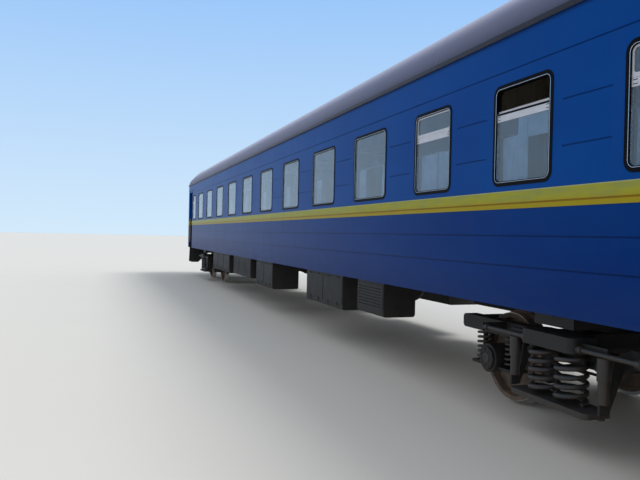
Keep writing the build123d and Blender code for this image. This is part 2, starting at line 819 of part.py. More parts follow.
def body_bolster(end):
    """The heavy beam over a bogie, with the socket for the bogie's centre pin."""
    reach = WALL_IN - SILL_W - 2 * SEAT_GAP
    x = end * PIVOT_X
    beam = block(x - BODY_BOLSTER_W / 2, x + BODY_BOLSTER_W / 2, -reach, reach,
                 BODY_BOLSTER_Z, FLOOR_LOW_Z)
    socket = Pos(x, 0, BODY_BOLSTER_Z - 1) * extrude(
        Circle(PIVOT_R + PIVOT_CLEAR), PIVOT_DEEP + 1)
    return beam - socket


def underframe():
    """Side sills and jack pads, bearers, body bolsters, draft sills and buffer beams."""
    beams = [side_sill(side) for side in SIDES]
    reach = WALL_IN - SILL_W - 2 * SEAT_GAP
    pad_y = WALL_IN - SEAT_GAP
    for n in range(BEARERS):
        x = (n - (BEARERS - 1) / 2) * BEARER_PITCH
        if abs(abs(x) - PIVOT_X) > BODY_BOLSTER_W / 2 + BEARER_W:
            beams.append(block(x - BEARER_W / 2, x + BEARER_W / 2, -reach, reach,
                               BEARER_LOW_Z, FLOOR_LOW_Z))
    wall_face = HALF_L - WALL_T - SEAT_GAP
    for end in ENDS:
        beams.append(body_bolster(end))
        pad_x = end * PIVOT_X
        for side in SIDES:
            beams.append(block(pad_x - JACK_PAD_L / 2, pad_x + JACK_PAD_L / 2,
                               side * (pad_y - JACK_PAD_W), side * pad_y,
                               SILL_Z - SEAT_GAP - JACK_PAD_T, SILL_Z - SEAT_GAP))
            y0, y1 = side * DRAFT_IN_Y, side * (DRAFT_IN_Y + DRAFT_W)
            beams.append(block(end * (PIVOT_X + BOLSTER_FACE),
                               end * (POST_X - SEAT_GAP), y0, y1, DRAFT_LOW_Z, UNDER_BEARER_Z))
            beams.append(block(end * POST_X, end * HALF_L, y0, side * BUFFER_BEAM_Y,
                               DRAFT_LOW_Z, SILL_Z - SEAT_GAP))
            well0, well1 = side * (WELL_IN_Y + SEAT_GAP), side * (LEAF_IN_Y - SEAT_GAP)
            corner = block(end * POST_X, end * wall_face, well0, well1, SILL_Z, FLOOR_Z)
            corner += block(end * WELL_END_X, end * (POST_X + 1), well0, well1,
                            FLOOR_Z - FLAP_T, FLOOR_Z)
            beams.append(corner)
            beams.append(block(end * (BAY_X + SEAT_GAP), end * (POST_X - SEAT_GAP),
                               side * (WELL_IN_Y - WELL_WEB), side * WELL_IN_Y,
                               WELL_WEB_LOW_Z, FLOOR_LOW_Z))
        beams.append(block(end * POST_X, end * wall_face, -WELL_IN_Y, WELL_IN_Y,
                           BEARER_LOW_Z, FLOOR_LOW_Z))
        half = DRAFT_IN_Y - SEAT_GAP
        beams.append(block(end * (DRAFT_GEAR_X - DRAFT_GEAR_L), end * DRAFT_GEAR_X, -half, half,
                           COUPLER_Z - DRAFT_GEAR_H / 2, COUPLER_Z + DRAFT_GEAR_H / 2))
    return beams


def slotted_tread(x0, x1, back, edge, z):
    """A tread of open grating: slots along it behind a solid nosing."""
    tread = block(x0, x1, back, edge, z - TREAD_T, z)
    slots = []
    for n in range(TREAD_SLOTS):
        y = edge - TREAD_NOSE - n * TREAD_SLOT_PITCH
        slots.append(block(x0 + TREAD_SLOT_END, x1 - TREAD_SLOT_END, y - TREAD_SLOT_W, y,
                           z - TREAD_T - 1, z + 1))
    return tread - slots


def steps():
    """Four sets of three treads between two hanging side plates."""
    flight = []
    low = RAIL_Z + STEP_RISES[0] - TREAD_T
    x0, x1 = BAY_X + SEAT_GAP, POST_X - SEAT_GAP
    inner = WELL_IN_Y + 2 * SEAT_GAP
    outer = HALF_W - TREAD_INSET
    high = SILL_Z + STEP_PLATE_HIGH
    shape = Polyline((inner, high), (outer - TREAD_INSET, high), (outer, low),
                     (outer - STEP_GOING - TREAD_LAP, low), (inner, SILL_Z - STEP_PLATE_LOW),
                     close=True)
    for x in (x0, x1 - STEP_PLATE_T):
        flight.append(along(make_face(shape), x, x + STEP_PLATE_T))
    for n, rise in enumerate(STEP_RISES):
        edge = outer - n * STEP_GOING
        back = max(edge - STEP_GOING - TREAD_LAP, inner)
        z = RAIL_Z + rise
        flight.append(slotted_tread(x0 + STEP_PLATE_T + SEAT_GAP,
                                    x1 - STEP_PLATE_T - SEAT_GAP, back, edge, z))
    everywhere = []
    for end in ENDS:
        for side in SIDES:
            for item in flight:
                turned = item if end > 0 else mirrored(item, Plane.YZ)
                everywhere.append(turned if side > 0 else mirrored(turned, Plane.XZ))
    return everywhere


# Inside, as seen through the windows

def room_edges():
    """X of each wall across the coach between rooms, from one bulkhead to the other."""
    edges = [ROOMS_X + n * COMPARTMENT for n in range(COMPARTMENTS + 1)]
    return edges + [SERVICE_X + n * SERVICE_ROOM for n in range(1, SERVICE_ROOMS)]


def room_middles():
    edges = room_edges()
    return [(a + b) / 2 for a, b in zip(edges, edges[1:])]


def inner_walls():
    """Partitions, vestibule bulkheads and the corridor's wall, each of flat panels."""
    low, high = FLOOR_Z + SEAT_GAP, CEILING_Z - SEAT_GAP
    near, far = -WALL_IN + SEAT_GAP, CORRIDOR_WALL_Y - SEAT_GAP
    head = FLOOR_Z + ROOM_DOOR_H
    edges = room_edges()
    walls = [block(x - PARTITION_T / 2, x + PARTITION_T / 2, near, far, low, high)
             for x in edges]
    aisle = (CORRIDOR_WALL_Y + PARTITION_T + WALL_IN) / 2
    jamb0, jamb1 = aisle - BULKHEAD_DOOR_W / 2, aisle + BULKHEAD_DOOR_W / 2
    for end in ENDS:
        x0, x1 = end * (BAY_X - BULKHEAD_T), end * BAY_X
        walls.append(block(x0, x1, near, jamb0, low, high))
        walls.append(block(x0, x1, jamb1, -near, low, high))
        walls.append(block(x0, x1, jamb0 + SEAT_GAP, jamb1 - SEAT_GAP, head, high))
    y0, y1 = CORRIDOR_WALL_Y, CORRIDOR_WALL_Y + PARTITION_T
    x0, x1 = edges[0] - PARTITION_T / 2, edges[-1] + PARTITION_T / 2
    walls.append(block(x0, x1, y0, y1, head, high))
    jambs = [x0]
    for x in room_middles():
        jambs += [x - ROOM_DOOR_W / 2, x + ROOM_DOOR_W / 2]
    jambs.append(x1)
    for left, right in zip(jambs[::2], jambs[1::2]):
        walls.append(block(left, right, y0, y1, low, head - SEAT_GAP))
    for left, right in zip(jambs[1::2], jambs[2::2]):
        walls.append(block(left + SEAT_GAP, right - SEAT_GAP, y0 + PARTITION_T / 4,
                           y1 - PARTITION_T / 4, low, head - SEAT_GAP))
    return walls


def compartment_sides():
    """Rows of X of the wall face and the way from it into the room, for each berth."""
    edges = room_edges()[:COMPARTMENTS + 1]
    rows = []
    for left, right in zip(edges, edges[1:]):
        rows.append((left + PARTITION_T / 2 + SEAT_GAP, 1))
        rows.append((right - PARTITION_T / 2 - SEAT_GAP, -1))
    return rows


def berth_frames():
    """The box under each lower berth and the board under each upper one."""
    frames = []
    y0, y1 = -WALL_IN + 2 * SEAT_GAP, CORRIDOR_WALL_Y - 2 * SEAT_GAP
    for x, way in compartment_sides():
        reach = x + way * BERTH_W
        frames.append(block(x, reach, y0, y1, FLOOR_Z + SEAT_GAP, FLOOR_Z + LOWER_BERTH_Z))
        frames.append(block(x, reach, y0, y1, FLOOR_Z + UPPER_BERTH_Z,
                            FLOOR_Z + UPPER_BERTH_Z + BERTH_BOARD_T))
    return frames


def berth_cushions():
    pads = []
    y0, y1 = -WALL_IN + CUSHION_INSET, CORRIDOR_WALL_Y - CUSHION_INSET
    tops = (LOWER_BERTH_Z, UPPER_BERTH_Z + BERTH_BOARD_T)
    for x, way in compartment_sides():
        for top in tops:
            low = FLOOR_Z + top + SEAT_GAP
            pad = block(x + way * SEAT_GAP, x + way * (BERTH_W - CUSHION_INSET), y0, y1,
                        low, low + CUSHION_T)
            pads.append(fillet(pad.edges().group_by(Axis.Z)[-1], CUSHION_T / 4))
    return pads


def tables():
    """A fixed table under each compartment window, with its rounded leaf and leg."""
    made = []
    edges = room_edges()[:COMPARTMENTS + 1]
    y0 = -WALL_IN + SEAT_GAP
    top = FLOOR_Z + TABLE_Z
    for left, right in zip(edges, edges[1:]):
        x = (left + right) / 2
        leaf = Pos(x, y0 + TABLE_D / 2, top) * extrude(
            RectangleRounded(TABLE_W, TABLE_D, TABLE_R), -TABLE_T)
        leg = block(x - TABLE_LEG_W / 2, x + TABLE_LEG_W / 2, y0, y0 + TABLE_LEG_D,
                    FLOOR_Z + SEAT_GAP, top - TABLE_T / 2)
        made.append(leaf + leg)
    return made


def ceiling():
    """The ceiling, stepped in at each end between the corner posts."""
    wide, narrow = WALL_IN - SEAT_GAP, LEAF_IN_Y - SEAT_GAP
    x1 = HALF_L - WALL_T - SEAT_GAP
    return (block(-POST_X, POST_X, -wide, wide, CEILING_Z, CEILING_Z + CEILING_T)
            + block(-x1, x1, -narrow, narrow, CEILING_Z, CEILING_Z + CEILING_T))


def curtain_rods():
    """A thin rod across the middle of each window, on a bracket at each end."""
    rods = []
    y = WALL_IN - ROD_OUT
    for x, width, _ in window_table():
        reach = width / 2 - SEAL_LIP
        bar = rod((x - reach, y, ROD_Z), (x + reach, y, ROD_Z), ROD_R)
        for at in (x - reach, x + reach - 2 * ROD_R):
            bar += block(at, at + 2 * ROD_R, y, WALL_IN - SEAT_GAP + SEAL_LIP,
                         ROD_Z - ROD_R, ROD_Z + ROD_R)
        rods.append(bar)
    return rods


def curtains():
    """Plain curtains, two to a window, each in the space that its cloth hangs in."""
    made = []
    y = WALL_IN - ROD_OUT
    for x, width, vented in window_table():
        reach = width / 2 - 2 * SEAL_LIP - 2 * ROD_R
        share = reach - ROD_R if vented else CURTAIN_W
        for side in SIDES:
            made.append(block(x + side * reach, x + side * (reach - share),
                              y - CURTAIN_T / 2, y + CURTAIN_T / 2,
                              CURTAIN_LOW_Z, ROD_Z - ROD_R - SEAT_GAP))
    return made


# Ends

def coupler(end):
    """A claw coupler: its head drawn in plan, and the shank into the draft gear."""
    # Columns: forward of the coupling line, across the coach
    outline = Polyline((-HEAD_BACK, 65), (-300, 150), (-210, 205), (20, 232), (95, 215),
                       (100, 150), (-30, 105), (-95, 85), (-110, -60), (-75, -100),
                       (-8, -120), (0, -200), (-200, -205), (-300, -150), (-HEAD_BACK, -65),
                       close=True)
    flat = make_face(outline)
    flat = fillet(flat.vertices(), HEAD_R)
    head = Pos(LINE_X, 0, COUPLER_Z - HEAD_H / 2) * extrude(flat, HEAD_H)
    shank = block(DRAFT_GEAR_X + SEAT_GAP, LINE_X - HEAD_BACK + HEAD_R, -SHANK_W / 2, SHANK_W / 2,
                  COUPLER_Z - SHANK_H / 2, COUPLER_Z + SHANK_H / 2)
    whole = head + shank
    return whole if end > 0 else Rot(0, 0, 180) * whole


def release_gear(end):
    """The rod that unlocks the coupler: on lugs, with an arm inside and a handle outside."""
    x, z = HALF_L + RELEASE_OFF, SILL_Z + RELEASE_UP
    gear = bent_bar([(x + RELEASE_ARM, RELEASE_IN_Y, z), (x, RELEASE_IN_Y, z),
                     (x, -RELEASE_OUT_Y, z), (x, -RELEASE_OUT_Y, z - RELEASE_HANDLE)],
                    RELEASE_R, RELEASE_BEND)
    for y in RELEASE_LUGS:
        gear += block(HALF_L + SEAT_GAP, x + 2 * RELEASE_R, y - RELEASE_LUG_T / 2,
                      y + RELEASE_LUG_T / 2, z - RELEASE_LUG_H / 2, z + RELEASE_LUG_H / 2)
    return gear if end > 0 else Rot(0, 0, 180) * gear


def buffer(end, side):
    """A sprung buffer: base plate, barrel, plunger and a head cut flat above and below."""
    y = side * BUFFER_Y
    x = HALF_L + SEAT_GAP
    face_x = LINE_X + BUFFER_REACH
    turn = Pos(x, y, COUPLER_Z) * Rot(0, 90, 0)
    top = SILL_Z - SEAT_GAP
    base = block(x, x + BUFFER_BASE_T, y - BUFFER_BASE, y + BUFFER_BASE, top - BUFFER_BASE, top)
    barrel = turn * extrude(Circle(BUFFER_BARREL_R), BUFFER_BARREL_L)
    plunger = turn * extrude(Circle(BUFFER_PLUNGER_R), face_x - x - BUFFER_HEAD_T)
    disc = Circle(BUFFER_HEAD_R) & Rectangle(2 * BUFFER_HEAD_H, 3 * BUFFER_HEAD_R)
    head = Pos(face_x - BUFFER_HEAD_T, y, COUPLER_Z) * Rot(0, 90, 0) * extrude(
        disc, BUFFER_HEAD_T)
    head = fillet(head.edges().group_by(Axis.X)[-1], BUFFER_HEAD_T / 4)
    whole = base + barrel + plunger + head
    return whole if end > 0 else mirrored(whole, Plane.YZ)


def gangway_frame(end):
    """The steel portal round the gangway, with the pins that carry the bridge plate."""
    x0, x1 = HALF_L + SEAT_GAP, HALF_L + PORTAL_D
    low, high = FLOOR_Z - PORTAL_DROP, PORTAL_TOP_Z
    in_low, in_high = FLOOR_Z - PORTAL_SILL, high - PORTAL_BAND
    in_y = PORTAL_Y - PORTAL_BAND
    outer = Pos(0, (low + high) / 2) * RectangleRounded(2 * PORTAL_Y, high - low, PORTAL_R)
    inner = Pos(0, (in_low + in_high) / 2) * Rectangle(2 * in_y, in_high - in_low)
    portal = along(outer - inner, x0, x1)
    for side in SIDES:
        portal += rod((BRIDGE_HINGE_X, side * (in_y + 1), BRIDGE_HINGE_Z),
                      (BRIDGE_HINGE_X, side * (in_y - PIN_DEEP), BRIDGE_HINGE_Z), FINE_PIN_R)
    return portal if end > 0 else mirrored(portal, Plane.YZ)


def gangway_tubes(end):
    """Two upright rubber tubes and one across the top, each round-nosed."""
    x0 = HALF_L + PORTAL_D + SEAT_GAP
    nose_r = PORTAL_BAND / 2
    length = LINE_X + TUBE_REACH - x0 - nose_r
    mid_y = PORTAL_Y - nose_r
    in_top = PORTAL_TOP_Z - PORTAL_BAND
    low = FLOOR_Z - PORTAL_DROP
    section = Pos(length / 2, 0) * Rectangle(length, PORTAL_BAND)
    section += Pos(length, 0) * Circle(nose_r)
    tubes = []
    for side in SIDES:
        tubes.append(Pos(x0, side * mid_y, low) * extrude(section, in_top - low - SEAT_GAP))
    tubes.append(Pos(x0, -PORTAL_Y, in_top + nose_r) * Rot(-90, 0, 0) * extrude(
        section, 2 * PORTAL_Y))
    if end > 0:
        return tubes
    return [mirrored(tube, Plane.YZ) for tube in tubes]


def bridge_plate(end):
    """The hinged footplate between coaches, let down level with the floor."""
    half = PORTAL_Y - PORTAL_BAND - FLAP_GAP
    x1 = LINE_X - BRIDGE_SHORT
    profile = Pos(BRIDGE_HINGE_X, BRIDGE_HINGE_Z) * Circle(BRIDGE_T)
    profile += Pos((BRIDGE_HINGE_X + x1) / 2, BRIDGE_HINGE_Z) * Rectangle(
        x1 - BRIDGE_HINGE_X, BRIDGE_T)
    plate = across(profile, -half, half)
    for side in SIDES:
        plate -= rod((BRIDGE_HINGE_X, side * (half + 1), BRIDGE_HINGE_Z),
                     (BRIDGE_HINGE_X, side * (half - PIN_DEEP), BRIDGE_HINGE_Z),
                     FINE_PIN_R + PIN_CLEAR)
    return plate if end > 0 else mirrored(plate, Plane.YZ)


def tail_lamps():
    lamps = []
    for end in ENDS:
        for side in SIDES:
            at = Pos(HALF_L + SEAT_GAP, side * LAMP_Y, LAMP_Z) * Rot(0, 90, 0)
            body = at * extrude(Circle(LAMP_R), LAMP_D)
            body = fillet(body.edges().group_by(Axis.X)[-1], LAMP_EDGE_R)
            lamps.append(body if end > 0 else mirrored(body, Plane.YZ))
    return lamps


# Doors

def hung_leaf(hinge_x, hinge_y, plan, low, high):
    """A leaf raised from its plan, with a pin hole at its hinge in both edges."""
    leaf = Pos(0, 0, low) * extrude(plan, high - low)
    for z0, z1 in ((low - 1, low + PIN_DEEP), (high + 1, high - PIN_DEEP)):
        leaf -= rod((hinge_x, hinge_y, z0), (hinge_x, hinge_y, z1), HINGE_PIN_R + PIN_CLEAR)
    return leaf


def side_door(end, side):
    """A leaf set back in its bay, with a rounded window; it swings into the vestibule."""
    x0 = BAY_X + DOOR_CLEAR
    low, high = FLOOR_Z + DOOR_CLEAR, DOOR_TOP_Z + DOOR_OVERLAP
    plan = Pos((x0 + DOOR_HINGE_X) / 2, DOOR_HINGE_Y) * Rectangle(DOOR_HINGE_X - x0, DOOR_T)
    plan += Pos(DOOR_HINGE_X, DOOR_HINGE_Y) * Circle(DOOR_T / 2)
    leaf = hung_leaf(DOOR_HINGE_X, DOOR_HINGE_Y, plan, low, high)
    mid = (x0 + DOOR_HINGE_X) / 2
    glass_low = FLOOR_Z + DOOR_WINDOW_LOW
    glass_high = glass_low + DOOR_WINDOW_H
    hole = rounded(mid, glass_low, glass_high, DOOR_WINDOW_W, DOOR_WINDOW_R)
    leaf -= across(hole, LEAF_IN_Y - 1, LEAF_OUT_Y + 1)
    panel = rounded(mid, FLOOR_Z + DOOR_RECESS, glass_low - DOOR_RECESS,
                    DOOR_WINDOW_W + DOOR_RECESS, DOOR_WINDOW_R / 2)
    leaf -= across(panel, LEAF_OUT_Y - GROOVE_DEPTH, LEAF_OUT_Y + 1)
    grip = rounded(x0 + GRIP_X, glass_low - GRIP_BELOW, glass_low + GRIP_ABOVE, GRIP_W, GRIP_R)
    leaf += across(grip, LEAF_OUT_Y - 1, LEAF_OUT_Y + GRIP_OUT)
    fit = rounded(mid, glass_low + SEAT_GAP, glass_high - SEAT_GAP,
                  DOOR_WINDOW_W - 2 * SEAT_GAP, DOOR_WINDOW_R - SEAT_GAP)
    glass = across(fit, LEAF_IN_Y + DOOR_T / 3, LEAF_OUT_Y - DOOR_T / 4)
    if end < 0:
        leaf, glass = mirrored(leaf, Plane.YZ), mirrored(glass, Plane.YZ)
    if side < 0:
        leaf, glass = mirrored(leaf, Plane.XZ), mirrored(glass, Plane.XZ)
    return leaf, glass


def step_flap(end, side):
    """The lid over a step well, hinged beside the bulkhead."""
    x1 = WELL_END_X - FLAP_GAP
    y0, y1 = WELL_IN_Y + FLAP_GAP, LEAF_IN_Y - FLAP_GAP
    profile = Pos(FLAP_HINGE_X, FLAP_HINGE_Z) * Circle(FLAP_T / 2)
    profile += Pos((FLAP_HINGE_X + x1) / 2, FLAP_HINGE_Z) * Rectangle(x1 - FLAP_HINGE_X, FLAP_T)
    flap = across(profile, y0, y1)
    for y, way in ((y0, 1), (y1, -1)):
        flap -= rod((FLAP_HINGE_X, y - way, FLAP_HINGE_Z),
                    (FLAP_HINGE_X, y + way * PIN_DEEP, FLAP_HINGE_Z), FINE_PIN_R + PIN_CLEAR)
    if end < 0:
        flap = mirrored(flap, Plane.YZ)
    return flap if side > 0 else mirrored(flap, Plane.XZ)


def end_door(end):
    """The gangway door in the end wall's doorway."""
    low, high = FLOOR_Z + DOOR_CLEAR, FLOOR_Z + END_DOOR_H - DOOR_CLEAR
    y0 = DOOR_CLEAR - END_DOOR_W / 2
    plan = Pos(END_HINGE_X, (y0 + END_HINGE_Y) / 2) * Rectangle(END_DOOR_T, END_HINGE_Y - y0)
    plan += Pos(END_HINGE_X, END_HINGE_Y) * Circle(END_DOOR_T / 2)
    leaf = hung_leaf(END_HINGE_X, END_HINGE_Y, plan, low, high)
    sight = Pos(0, FLOOR_Z + END_WINDOW_MID)
    x0, x1 = END_HINGE_X - END_DOOR_T / 2, END_HINGE_X + END_DOOR_T / 2
    leaf -= along(sight * RectangleRounded(END_WINDOW_W, END_WINDOW_H, DOOR_WINDOW_R),
                  x0 - 1, x1 + 1)
    glass = along(sight * RectangleRounded(END_WINDOW_W - 2 * SEAT_GAP,
                                           END_WINDOW_H - 2 * SEAT_GAP,
                                           DOOR_WINDOW_R - SEAT_GAP),
                  x0 + END_DOOR_T / 3, x1 - END_DOOR_T / 4)
    if end < 0:
        return mirrored(leaf, Plane.YZ), mirrored(glass, Plane.YZ)
    return leaf, glass


# Under the floor

def hung_case(x0, x1, deep, low, louvred):
    """An equipment case on the +Y side, its outer face with hinged lids or louvres."""
    outer, top = HALF_W - BOX_INSET, SILL_Z - SEAT_GAP
    case = block(x0, x1, outer - deep, outer, low, top)
    case = fillet(case.edges().filter_by(Axis.X).group_by(Axis.Z)[0], BOX_R)
    lids = ceil((x1 - x0) / LID_W)
    pitch = (x1 - x0) / lids
    lid_low, lid_high = low + BOX_R + LID_EDGE, top - LID_EDGE
    face = outer + LID_OUT
    for n in range(lids):
        mid = x0 + (n + 0.5) * pitch
        width = pitch - LID_EDGE
        case += across(rounded(mid, lid_low, lid_high, width, LID_R), outer - 1, face)
        if louvred:
            mid_z = (lid_low + lid_high) / 2
            for k in range(LOUVRES):
                z = mid_z + (k - (LOUVRES - 1) / 2) * LOUVRE_PITCH
                slot = rounded(mid, z - LOUVRE_H / 2, z + LOUVRE_H / 2,
                               width - 2 * LID_EDGE, LOUVRE_R)
                case -= across(slot, face - LOUVRE_DEEP, face + 1)
            continue
        for way in ENDS:
            x = mid + way * LID_FITTING_SHARE * width
            case += rod((x - LID_HINGE_L / 2, face, lid_high), (x + LID_HINGE_L / 2, face, lid_high),
                        LID_HINGE_R)
            case += block(x - LID_LATCH_W / 2, x + LID_LATCH_W / 2, outer - 1,
                          outer + LID_LATCH_OUT, lid_low - LID_LATCH_H / 2,
                          lid_low + LID_LATCH_H / 2)
    return case


def hung_boxes():
    """Equipment cases hung from the side sills, with rounded lower edges."""
    cases = []
    for start, stop, side, deep, low, louvred in HUNG_BOXES:
        case = hung_case(start * BEARER_PITCH, stop * BEARER_PITCH, deep, RAIL_Z + low, louvred)
        cases.append(case if side > 0 else mirrored(case, Plane.XZ))
    return cases


def air_tanks():
    """Reservoirs with domed ends, each in two straps from the bearers' level."""
    top = UNDER_BEARER_Z
    tanks = []
    for bay, y, radius, length in AIR_TANKS:
        x = bay * BEARER_PITCH
        z = top - radius - STRAP_T
        tank = Pos(x, y, z) * Rot(0, 90, 0) * Cylinder(radius, length)
        tank = fillet(tank.edges().filter_by(GeomType.CIRCLE), radius * TANK_DOME_SHARE)
        for at in (x - BEARER_PITCH / 2, x + BEARER_PITCH / 2):
            tank += block(at - STRAP_W / 2, at + STRAP_W / 2, y - radius / 2, y + radius / 2,
                          z + radius / 2, top)
        tanks.append(tank)
    return tanks


def brake_cylinder():
    """The cylinder on its saddles under a plate, with a fixed fork and the piston's fork."""
    x0, x1 = CYLINDER_X - CYLINDER_L / 2, CYLINDER_X + CYLINDER_L / 2
    z = CYLINDER_Z
    plate_x = BEARER_PITCH / 2 + BEARER_W / 2
    unit = block(CYLINDER_X - plate_x, CYLINDER_X + plate_x, -CYLINDER_PLATE_Y, CYLINDER_PLATE_Y,
                 UNDER_BEARER_Z - CYLINDER_PLATE_T, UNDER_BEARER_Z)
    unit += rod((x0, 0, z), (x1, 0, z), CYLINDER_R)
    for x in (x0, x1 - CYLINDER_FLANGE_T):
        unit += rod((x, 0, z), (x + CYLINDER_FLANGE_T, 0, z), CYLINDER_R + CYLINDER_FLANGE)
        at = min(max(x, x0 + CYLINDER_FLANGE_T), x1 - CYLINDER_FLANGE_T - SADDLE_W)
        unit += block(at, at + SADDLE_W, -SADDLE_Y, SADDLE_Y, z,
                      UNDER_BEARER_Z - CYLINDER_PLATE_T + 1)
    unit += rod((x1 - 1, 0, z), (x1 + PISTON_OUT - FORK_L + 1, 0, z), PISTON_R)
    unit += fork(x1 + PISTON_OUT, 0, -1)
    unit += fork(x0 - FORK_L, 0, 1)
    return unit


def fork(x, y, way):
    """A fork round a lever at x and y, with its pin; its stem points along X by the sign."""
    z, half = CYLINDER_Z, LEVER_T / 2 + SEAT_GAP
    made = Pos(x, y, z) * Cylinder(FORK_R, FORK_T)
    made += block(x, x + way * FORK_L, y - FORK_R, y + FORK_R, z - FORK_T / 2, z + FORK_T / 2)
    made -= block(x - FORK_SLOT, x + FORK_SLOT, y - FORK_R - 1, y + FORK_R + 1, z - half, z + half)
    return made + rod((x, y, z - FORK_T / 2), (x, y, z + FORK_T / 2), LEVER_PIN_R)


def lever_places():
    """X of the two levers: at the cylinder's fixed fork and at its piston's fork."""
    return (CYLINDER_X - CYLINDER_L / 2 - FORK_L, CYLINDER_X + CYLINDER_L / 2 + PISTON_OUT)


def brake_rigging():
    """The cylinder, two flat levers, the tie between them, the pull rods and their guides."""
    z = CYLINDER_Z
    pieces = [brake_cylinder()]
    holes = [0, LEVER_TIE_Y, LEVER_SPAN]
    for x in lever_places():
        flat = Pos(x, LEVER_SPAN / 2) * Rectangle(LEVER_W, LEVER_SPAN)
        for y in (0, LEVER_SPAN):
            flat += Pos(x, y) * Circle(LEVER_W / 2)
        for y in holes:
            flat -= Pos(x, y) * Circle(LEVER_PIN_R + SEAT_GAP)
        pieces.append(Pos(0, 0, z - LEVER_T / 2) * extrude(flat, LEVER_T))
    left, right = lever_places()
    tie = rod((left + FORK_L - 1, LEVER_TIE_Y, z), (right - FORK_L + 1, LEVER_TIE_Y, z), PULL_R)
    pieces.append(tie + fork(left, LEVER_TIE_Y, 1) + fork(right, LEVER_TIE_Y, -1))
    reach = PIVOT_X - FRAME_HALF - PULL_END_GAP
    for x, way in ((left, -1), (right, 1)):
        pull = rod((x + way * (FORK_L - 1), LEVER_SPAN, z), (way * reach, LEVER_SPAN, z), PULL_R)
        pieces.append(pull + fork(x, LEVER_SPAN, way))
    for bay in PULL_GUIDES:
        x = bay * BEARER_PITCH
        guide = block(x - GUIDE_T / 2, x + GUIDE_T / 2, LEVER_SPAN - GUIDE_W / 2,
                      LEVER_SPAN + GUIDE_W / 2, z - GUIDE_W / 2, UNDER_BEARER_Z)
        pieces.append(guide - rod((x - GUIDE_T, LEVER_SPAN, z), (x + GUIDE_T, LEVER_SPAN, z),
                                  PULL_R + SEAT_GAP))
    return pieces


def pipes():
    """The main brake pipe and the cable pipe, in lengths that end at the body bolsters."""
    lengths = [(BOLSTER_FACE - PIVOT_X, PIVOT_X - BOLSTER_FACE)]
    for end in ENDS:
        lengths.append((end * (PIVOT_X + BOLSTER_FACE), end * (POST_X - SEAT_GAP)))
    made = []
    for y, radius in PIPES:
        z = UNDER_BEARER_Z - radius
        made += [rod((x0, y, z), (x1, y, z), radius) for x0, x1 in lengths]
    return made


def end_grips(end):
    """Two upright rails by the corners of an end wall, and the rungs up one side of it."""
    face = HALF_L + SEAT_GAP
    grips = []
    low, high = FLOOR_Z + END_RAIL_LOW, FLOOR_Z + END_RAIL_HIGH
    x = HALF_L + END_RAIL_OFF
    for side in SIDES:
        y = side * END_RAIL_Y
        grips.append(bent_bar([(face, y, low), (x, y, low), (x, y, high), (face, y, high)],
                              END_RAIL_R, GRIP_BEND))
    x = HALF_L + RUNG_OFF
    y0, y1 = RUNG_Y - RUNG_W / 2, RUNG_Y + RUNG_W / 2
    for n in range(RUNGS):
        z = FLOOR_Z + RUNG_LOW + n * RUNG_PITCH
        grips.append(bent_bar([(face, y0, z), (x, y0, z), (x, y1, z), (face, y1, z)],
                              RUNG_R, GRIP_BEND))
    return grips if end > 0 else [mirrored(grip, Plane.YZ) for grip in grips]


def handrails():
    """Two upright grips in each door bay, and those on the end walls."""
    rails = end_grips(1) + end_grips(-1)
    low, high = FLOOR_Z + RAIL_LOW, FLOOR_Z + RAIL_HIGH
    y = HALF_W - RAIL_IN
    for end in ENDS:
        for side in SIDES:
            for face, way in ((BAY_X, 1), (POST_X, -1)):
                x = face + way * RAIL_OFF
                rail = rod((x, y, low), (x, y, high), RAIL_R)
                for z in (low + RAIL_FOOT, high - RAIL_FOOT):
                    rail += rod((face + way * SEAT_GAP, y, z), (x, y, z), RAIL_FOOT_R)
                rail = rail if end > 0 else mirrored(rail, Plane.YZ)
                rails.append(rail if side > 0 else mirrored(rail, Plane.XZ))
    return rails


# Bogie, drawn about its own centre

def four_ways(shape):
    """A shape in the quarter x > 0, y > 0 and its mirror images in the other three."""
    right = [shape, mirrored(shape, Plane.YZ)]
    return right + [mirrored(item, Plane.XZ) for item in right]


def coil(radius, wire, height, turns):
    """A coil spring on the plane z = 0, its ends ground flat by a share of the wire."""
    sunk = wire * GROUND_SHARE
    pitch = (height - 2 * sunk) / turns
    path = Helix(pitch, pitch * turns, radius)
    section = Plane(origin=path @ 0, z_dir=path % 0) * Circle(wire / 2)
    spring = Pos(0, 0, sunk) * sweep(section, path=path, is_frenet=True)
    reach = radius + wire
    return spring & Pos(0, 0, height / 2) * Box(2 * reach, 2 * reach, height)


